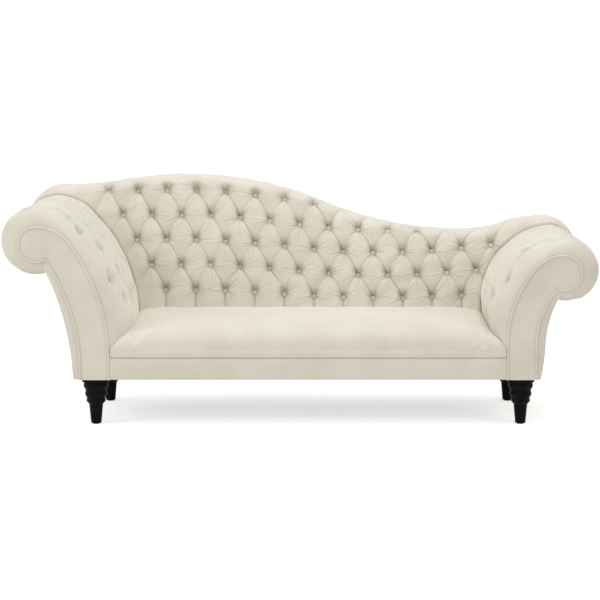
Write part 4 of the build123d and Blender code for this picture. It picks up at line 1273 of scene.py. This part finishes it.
    def outside_shape(self) -> Shape:
        """Shape of the outside panel with its rounded front edge."""
        form = self.form
        high = form.lobe_z + form.lobe_r * math.sin(math.radians(self.tuck))
        begin, round_off, front_part = form.front + FRONT_GAP, 20.0, 0.2

        def shape(a: Array, b: Array) -> Array:
            """Points of the panel for places up it and from front to rear."""
            z = BACK.floor + a * (high - BACK.floor)
            turn = np.clip(b / front_part, 0, 1) * np.pi / 2
            along = np.clip((b - front_part) / (1 - front_part), 0, 1)
            rear = BACK.depth_at(z, REAR_GAP)
            y = begin + round_off * (1 - np.cos(turn)) + along * (rear - begin - round_off)
            low, wide = form.outer_edge(z, 1.0), form.outer_edge(z, form.outside)
            swell = form.belly * 4 * a * (1 - a) + form.toe * (1 - a) ** 2
            wide = wide + swell * (1 - smooth((along - 0.3) / 0.6))
            u = low + (wide - low) * np.sin(turn)
            return np.stack([form.side * u, y, z], axis=-1)

        return shape

    def build(self) -> None:
        """Make and dress every soft piece of this arm."""
        form, shop = self.form, self.shop
        name = form.name
        rows = self.front_rows + self.depth_rows
        columns, shape = sum(self.counts) - 1, self.cover_shape()
        held = held_at(shape, along=(0.03, 0.85), across=(0.12, 0.94), clear=-1000.0)
        shape = shop.swell(columns // 2, rows // 2, shape, held, pressure=2.4, cap=5.0)
        shop.padding(f"{name}_arm_roll", columns, rows, shape, f"{name}_arm_cover", 0.85)
        shop.padding(f"{name}_scroll_facing", *self.facing_shape(), f"{name}_arm_facing", 0.9)
        shop.padding(f"{name}_outside_panel", 70, 80, self.outside_shape(), f"{name}_outside_arm", 0.9)
        for part, line in zip(("inner", "outer"), self.edges(220)):
            level = np.full(len(line), form.front + WELT_RADIUS)
            path = np.stack([form.side * line[:, 0], level, line[:, 1]], axis=-1)
            welt = shop.cord(f"{name}_{part}_welt", path, WELT_RADIUS)
            shop.dress(welt, Slot.VELVET, (f"{name}_facing_welt",) if part == "inner" else ())
        tufts = self.tufting()
        places = []
        for y, s in tufts.spots.values():
            depth = float(tufts.relief(np.array([y]), np.array([s]))[0][0]) - self.button_raise
            spot, way = self.spot(y, s)
            places.append((spot - way * depth, way))
        buttons = covered_buttons(shop, f"{name}_arm_buttons_velvet", places)
        shop.dress(buttons, Slot.VELVET, (f"{name}_arm_buttons",), 0.9)


@dataclass
class Seat:
    """Tight crowned seat, its front border and the cord between them."""

    shop: Workshop
    left: float = -LEFT.base
    right: float = RIGHT.base
    front: float = -441.0
    bottom: float = 278.3
    face: float = 290.0
    nose: float = 388.0
    crown: float = 412.0
    rear: float = 396.0
    crown_y: float = -60.0
    end_drop: float = 52.0
    shoulder: float = 270.0
    square: float = 0.8  # below one for a fuller nose
    nose_depth: float = 0.81  # of its height
    rear_out: float = 84.0  # how far out from the back's frame the seat ends
    side_gap: float = 6.0
    border_gap: float = 4.8
    seam_z: float = 275.6
    settle: float = 6.0  # how far the middle has settled
    slack: float = 0.8  # height of the loose waves
    arm_round: float = 195.0  # depth over which the arms round over at the front
    tuck_round: float = 20.0  # rounding where the seat tucks in beside the arms
    tuck_drop: float = 16.0

    def profile(self, drop: Array, t: Array) -> tuple[Array, Array]:
        """Side profile of the seat from its seam to the back.

        Args:
            drop: how far the top is lowered.
            t: places along the profile from nought to one.

        Returns:
            Depth and height.
        """
        low = self.face - 0.1 * drop
        high, crown, rear = (level - 0.8 * drop for level in (self.nose, self.crown, self.rear))
        reach = (high - low) * self.nose_depth
        rear_y = BACK.depth_at(rear, self.rear_out - drop)
        wall, bend, flat = 0.05, 0.2, 0.25
        up = np.clip(t / wall, 0, 1)
        turn = np.clip((t - wall) / bend, 0, 1) * np.pi / 2
        over = np.clip((t - flat) / (1 - flat), 0, 1)
        y = self.front + reach * (1 - np.cos(turn) ** self.square)
        z = self.bottom + (low - self.bottom) * up + (high - low) * np.sin(turn) ** self.square
        start, end = self.front + reach, BACK.depth / 2
        flat_y = start + over * (rear_y - start)
        # A parabola through the ends of the flat part and its crown
        a, b, c = flat_y - start, flat_y - self.crown_y, flat_y - end
        ab, bc, ac = self.crown_y - start, end - self.crown_y, end - start
        top = high * b * c / (ab * ac) - crown * a * c / (ab * bc) + rear * a * b / (ac * bc)
        return np.where(over > 0, flat_y, y), np.where(over > 0, top, z)

    def cover_shape(self) -> Shape:
        """Shape of the seat cover, tucked in beside the arms."""
        slack = Ripples(190.0, 9)
        begin = LEFT.front + FRONT_GAP

        def shape(a: Array, b: Array) -> Array:
            """Points of the seat for places across it and along its profile."""
            x = self.left + self.side_gap + a * (self.right - self.left - 2 * self.side_gap)
            near = np.clip(1 - np.minimum(x - self.left, self.right - x) / self.shoulder, 0, 1)
            y, z = self.profile(self.end_drop * near**2, b)
            z = z + self.slack * slack.at(x, y) * smooth((b - 0.2) / 0.2)
            z = z - self.settle * (1 - smooth(near / 0.7)) * smooth((b - 0.25) / 0.4)
            for arm in ARMS:
                turn = np.arccos(np.clip(1 - (y - begin) / self.arm_round, 0, 1))
                depth = arm.pad * (1 - np.sin(turn))
                away = arm.outside_distance(arm.side * x, z) + depth
                edge = rounding(away, self.tuck_round)
                under = smooth(-away / 10.0)
                low = np.minimum(z, self.bottom + 6.0)
                z = np.maximum(z - self.tuck_drop * edge, low) * (1 - under) + low * under
            return np.stack([x, y, z, np.zeros_like(x)], axis=-1)

        return shape

    def border_shape(self) -> Shape:
        """Shape of the padded front border with soft upper and lower edges."""
        section = np.array(
            [(-432.5, 188.0), (-436.0, 186.2), (-440.0, 187.5), (-441.6, 192.0), (-442.4, 210.0),
             (-442.8, 230.0), (-442.4, 250.0), (-441.4, 267.0), (-439.5, 271.5), (-436.0, 273.0),
             (-432.5, 273.0)]
        )
        where = np.linspace(0, 1, len(section))
        slack = Ripples(120.0, 11)

        def shape(a: Array, b: Array) -> Array:
            """Points of the border for places across it and round its section."""
            x = self.left + self.border_gap + a * (self.right - self.left - 2 * self.border_gap)
            y = np.interp(b, where, section[:, 0]) - 0.4 * slack.at(x, 80 * b) * np.sin(np.pi * b)
            z = np.interp(b, where, section[:, 1])
            return np.stack([x, y, z], axis=-1)

        return shape

    def build(self) -> None:
        """Make and dress the seat's soft pieces."""
        shape = self.cover_shape()
        held = held_at(shape, along=(0.01, 0.99), across=(0.06, 0.95), clear=25.0)
        shape = self.shop.swell(160, 75, shape, held, pressure=2.0, cap=4.0)
        self.shop.padding("crowned_seat", 320, 150, shape, "seat_cover", 0.9)
        self.shop.padding("front_border_panel", 300, 30, self.border_shape(), "front_border", 0.9)
        x = np.linspace(self.left + self.border_gap, self.right - self.border_gap, 200)
        y, z = np.full_like(x, self.front + SEAM_RADIUS), np.full_like(x, self.seam_z)
        path = np.stack([x, y, z], axis=-1)
        cord = self.shop.cord("seam_cord", path, SEAM_RADIUS)
        self.shop.dress(cord, Slot.VELVET, ("seat_seam_cord",))


# Surroundings


@dataclass
class Studio:
    """Pale floor, soft light and a camera at the photograph's angle."""

    camera_at: tuple[float, float, float] = (0.0726, -8.2568, 1.4494)
    pitch: float = 0.08908
    lens: float = 117.89
    shift: tuple[float, float] = (-0.03055, -0.1)
    glow: float = 0.62  # what the floor adds to its own white, to the eye only
    sky: float = 0.46  # light of the sky
    lamps: tuple = (  # name, place, target, size, watts and colour
        ("top_lamp", (0.3, -0.2, 4.2), (0, 0, 0.4), 3.0, 100.0, "#F4F8FF"),
        ("right_lamp", (4.0, -3.5, 2.6), (0, 0, 0.5), 2.2, 40.0, "#FFFFFF"),
        ("left_lamp", (-4.2, -2.6, 2.2), (0, 0, 0.5), 2.2, 50.0, "#FFFFFF"),
        ("front_lamp", (-2.2, -5.5, 2.6), (-0.6, 0, 0.5), 3.0, 36.0, "#FFFFFF"),
    )

    def seen(self, tree: bpy.types.NodeTree) -> bpy.types.NodeSocket:
        """Tell the rays that show the surroundings from those that only light the piece.

        Args:
            tree: node tree to add to.

        Returns:
            A value of one for camera, mirrored and passed-through rays, nought for others.
        """
        path = add_node(tree, "ShaderNodeLightPath")
        total = path.outputs["Is Camera Ray"]
        for kind in ("Is Glossy Ray", "Is Transmission Ray"):
            links = {0: total, 1: path.outputs[kind]}
            total = add_node(tree, "ShaderNodeMath", links, use_clamp=True).outputs[0]
        return total

    def floor(self) -> None:
        """Lay a plain white floor."""
        bm = bmesh.new()
        bmesh.ops.create_grid(bm, x_segments=1, y_segments=1, size=30.0)
        mesh = bpy.data.meshes.new("floor")
        bm.to_mesh(mesh)
        bm.free()
        floor = bpy.data.objects.new("floor", mesh)
        bpy.context.scene.collection.objects.link(floor)
        material = bpy.data.materials.new("floor_white")
        material.use_nodes = True
        tree = material.node_tree
        tree.nodes.clear()
        paint = add_node(tree, "ShaderNodeBsdfDiffuse", Color=linear("#F4F3F1"))
        glow = add_node(tree, "ShaderNodeMath", {0: self.seen(tree)}, operation="MULTIPLY")
        glow.inputs[1].default_value = self.glow
        white = add_node(tree, "ShaderNodeEmission", {"Strength": glow.outputs[0]}, Color=(1, 1, 1, 1))
        links = {0: paint.outputs["BSDF"], 1: white.outputs["Emission"]}
        both = add_node(tree, "ShaderNodeAddShader", links)
        add_node(tree, "ShaderNodeOutputMaterial", {"Surface": both.outputs["Shader"]})
        mesh.materials.append(material)

    def lamp(self, name: str, at: tuple, target: tuple, size: float, power: float, tone: str) -> None:
        """Hang one soft square lamp.

        Args:
            name: name of the lamp.
            at: its place.
            target: what it shines at.
            size: length of its sides.
            power: its power in watts.
            tone: its colour.
        """
        data = bpy.data.lights.new(name, "AREA")
        data.color = linear(tone)[:3]
        data.size = size
        data.energy = power
        lamp = bpy.data.objects.new(name, data)
        lamp.location = at
        lamp.rotation_euler = (Vector(target) - Vector(at)).to_track_quat("-Z", "Y").to_euler()
        bpy.context.scene.collection.objects.link(lamp)

    def world(self) -> None:
        """Set a soft sky that looks white to the camera."""
        world = bpy.data.worlds.new("studio_sky")
        bpy.context.scene.world = world
        world.use_nodes = True
        tree = world.node_tree
        tree.nodes.clear()
        strength = add_node(
            tree, "ShaderNodeMapRange", {"Value": self.seen(tree)}, To_Min=self.sky, To_Max=1.0
        )
        links = {"Strength": strength.outputs["Result"]}
        sky = add_node(tree, "ShaderNodeBackground", links, Color=(1, 1, 1, 1))
        add_node(tree, "ShaderNodeOutputWorld", {"Surface": sky.outputs["Background"]})

    def build(self) -> None:
        """Set up floor, lamps, sky and camera."""
        self.floor()
        self.world()
        for lamp in self.lamps:
            self.lamp(*lamp)
        data = bpy.data.cameras.new("camera")
        data.lens = self.lens
        data.sensor_width = 36.0
        data.shift_x, data.shift_y = self.shift
        data.clip_end = 100.0
        camera = bpy.data.objects.new("camera", data)
        camera.location = self.camera_at
        camera.rotation_euler = (math.pi / 2 - self.pitch, 0, 0)
        scene = bpy.context.scene
        scene.collection.objects.link(camera)
        scene.camera = camera
        scene.view_settings.view_transform = "Standard"


def dress_frame(shop: Workshop) -> None:
    """Give every solid that stays its finish."""
    slots = {entry["node"]: Slot(entry["material_slot"]) for entry in frame["record"]["subparts"]}
    for node, obj in frame["nodes"].items():
        obj.data.materials.clear()
        obj.data.materials.append(shop.materials[slots[node]])


def main() -> None:
    """Build the chaise longue round its frame."""
    logging.basicConfig(level=logging.INFO, format="%(name)s %(message)s")
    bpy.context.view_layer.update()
    shop = Workshop()
    dress_frame(shop)
    Back(shop).build()
    for form in ARMS:
        Arm(shop, form).build()
    Seat(shop).build()
    Studio().build()


if __name__ == "__main__":
    main()
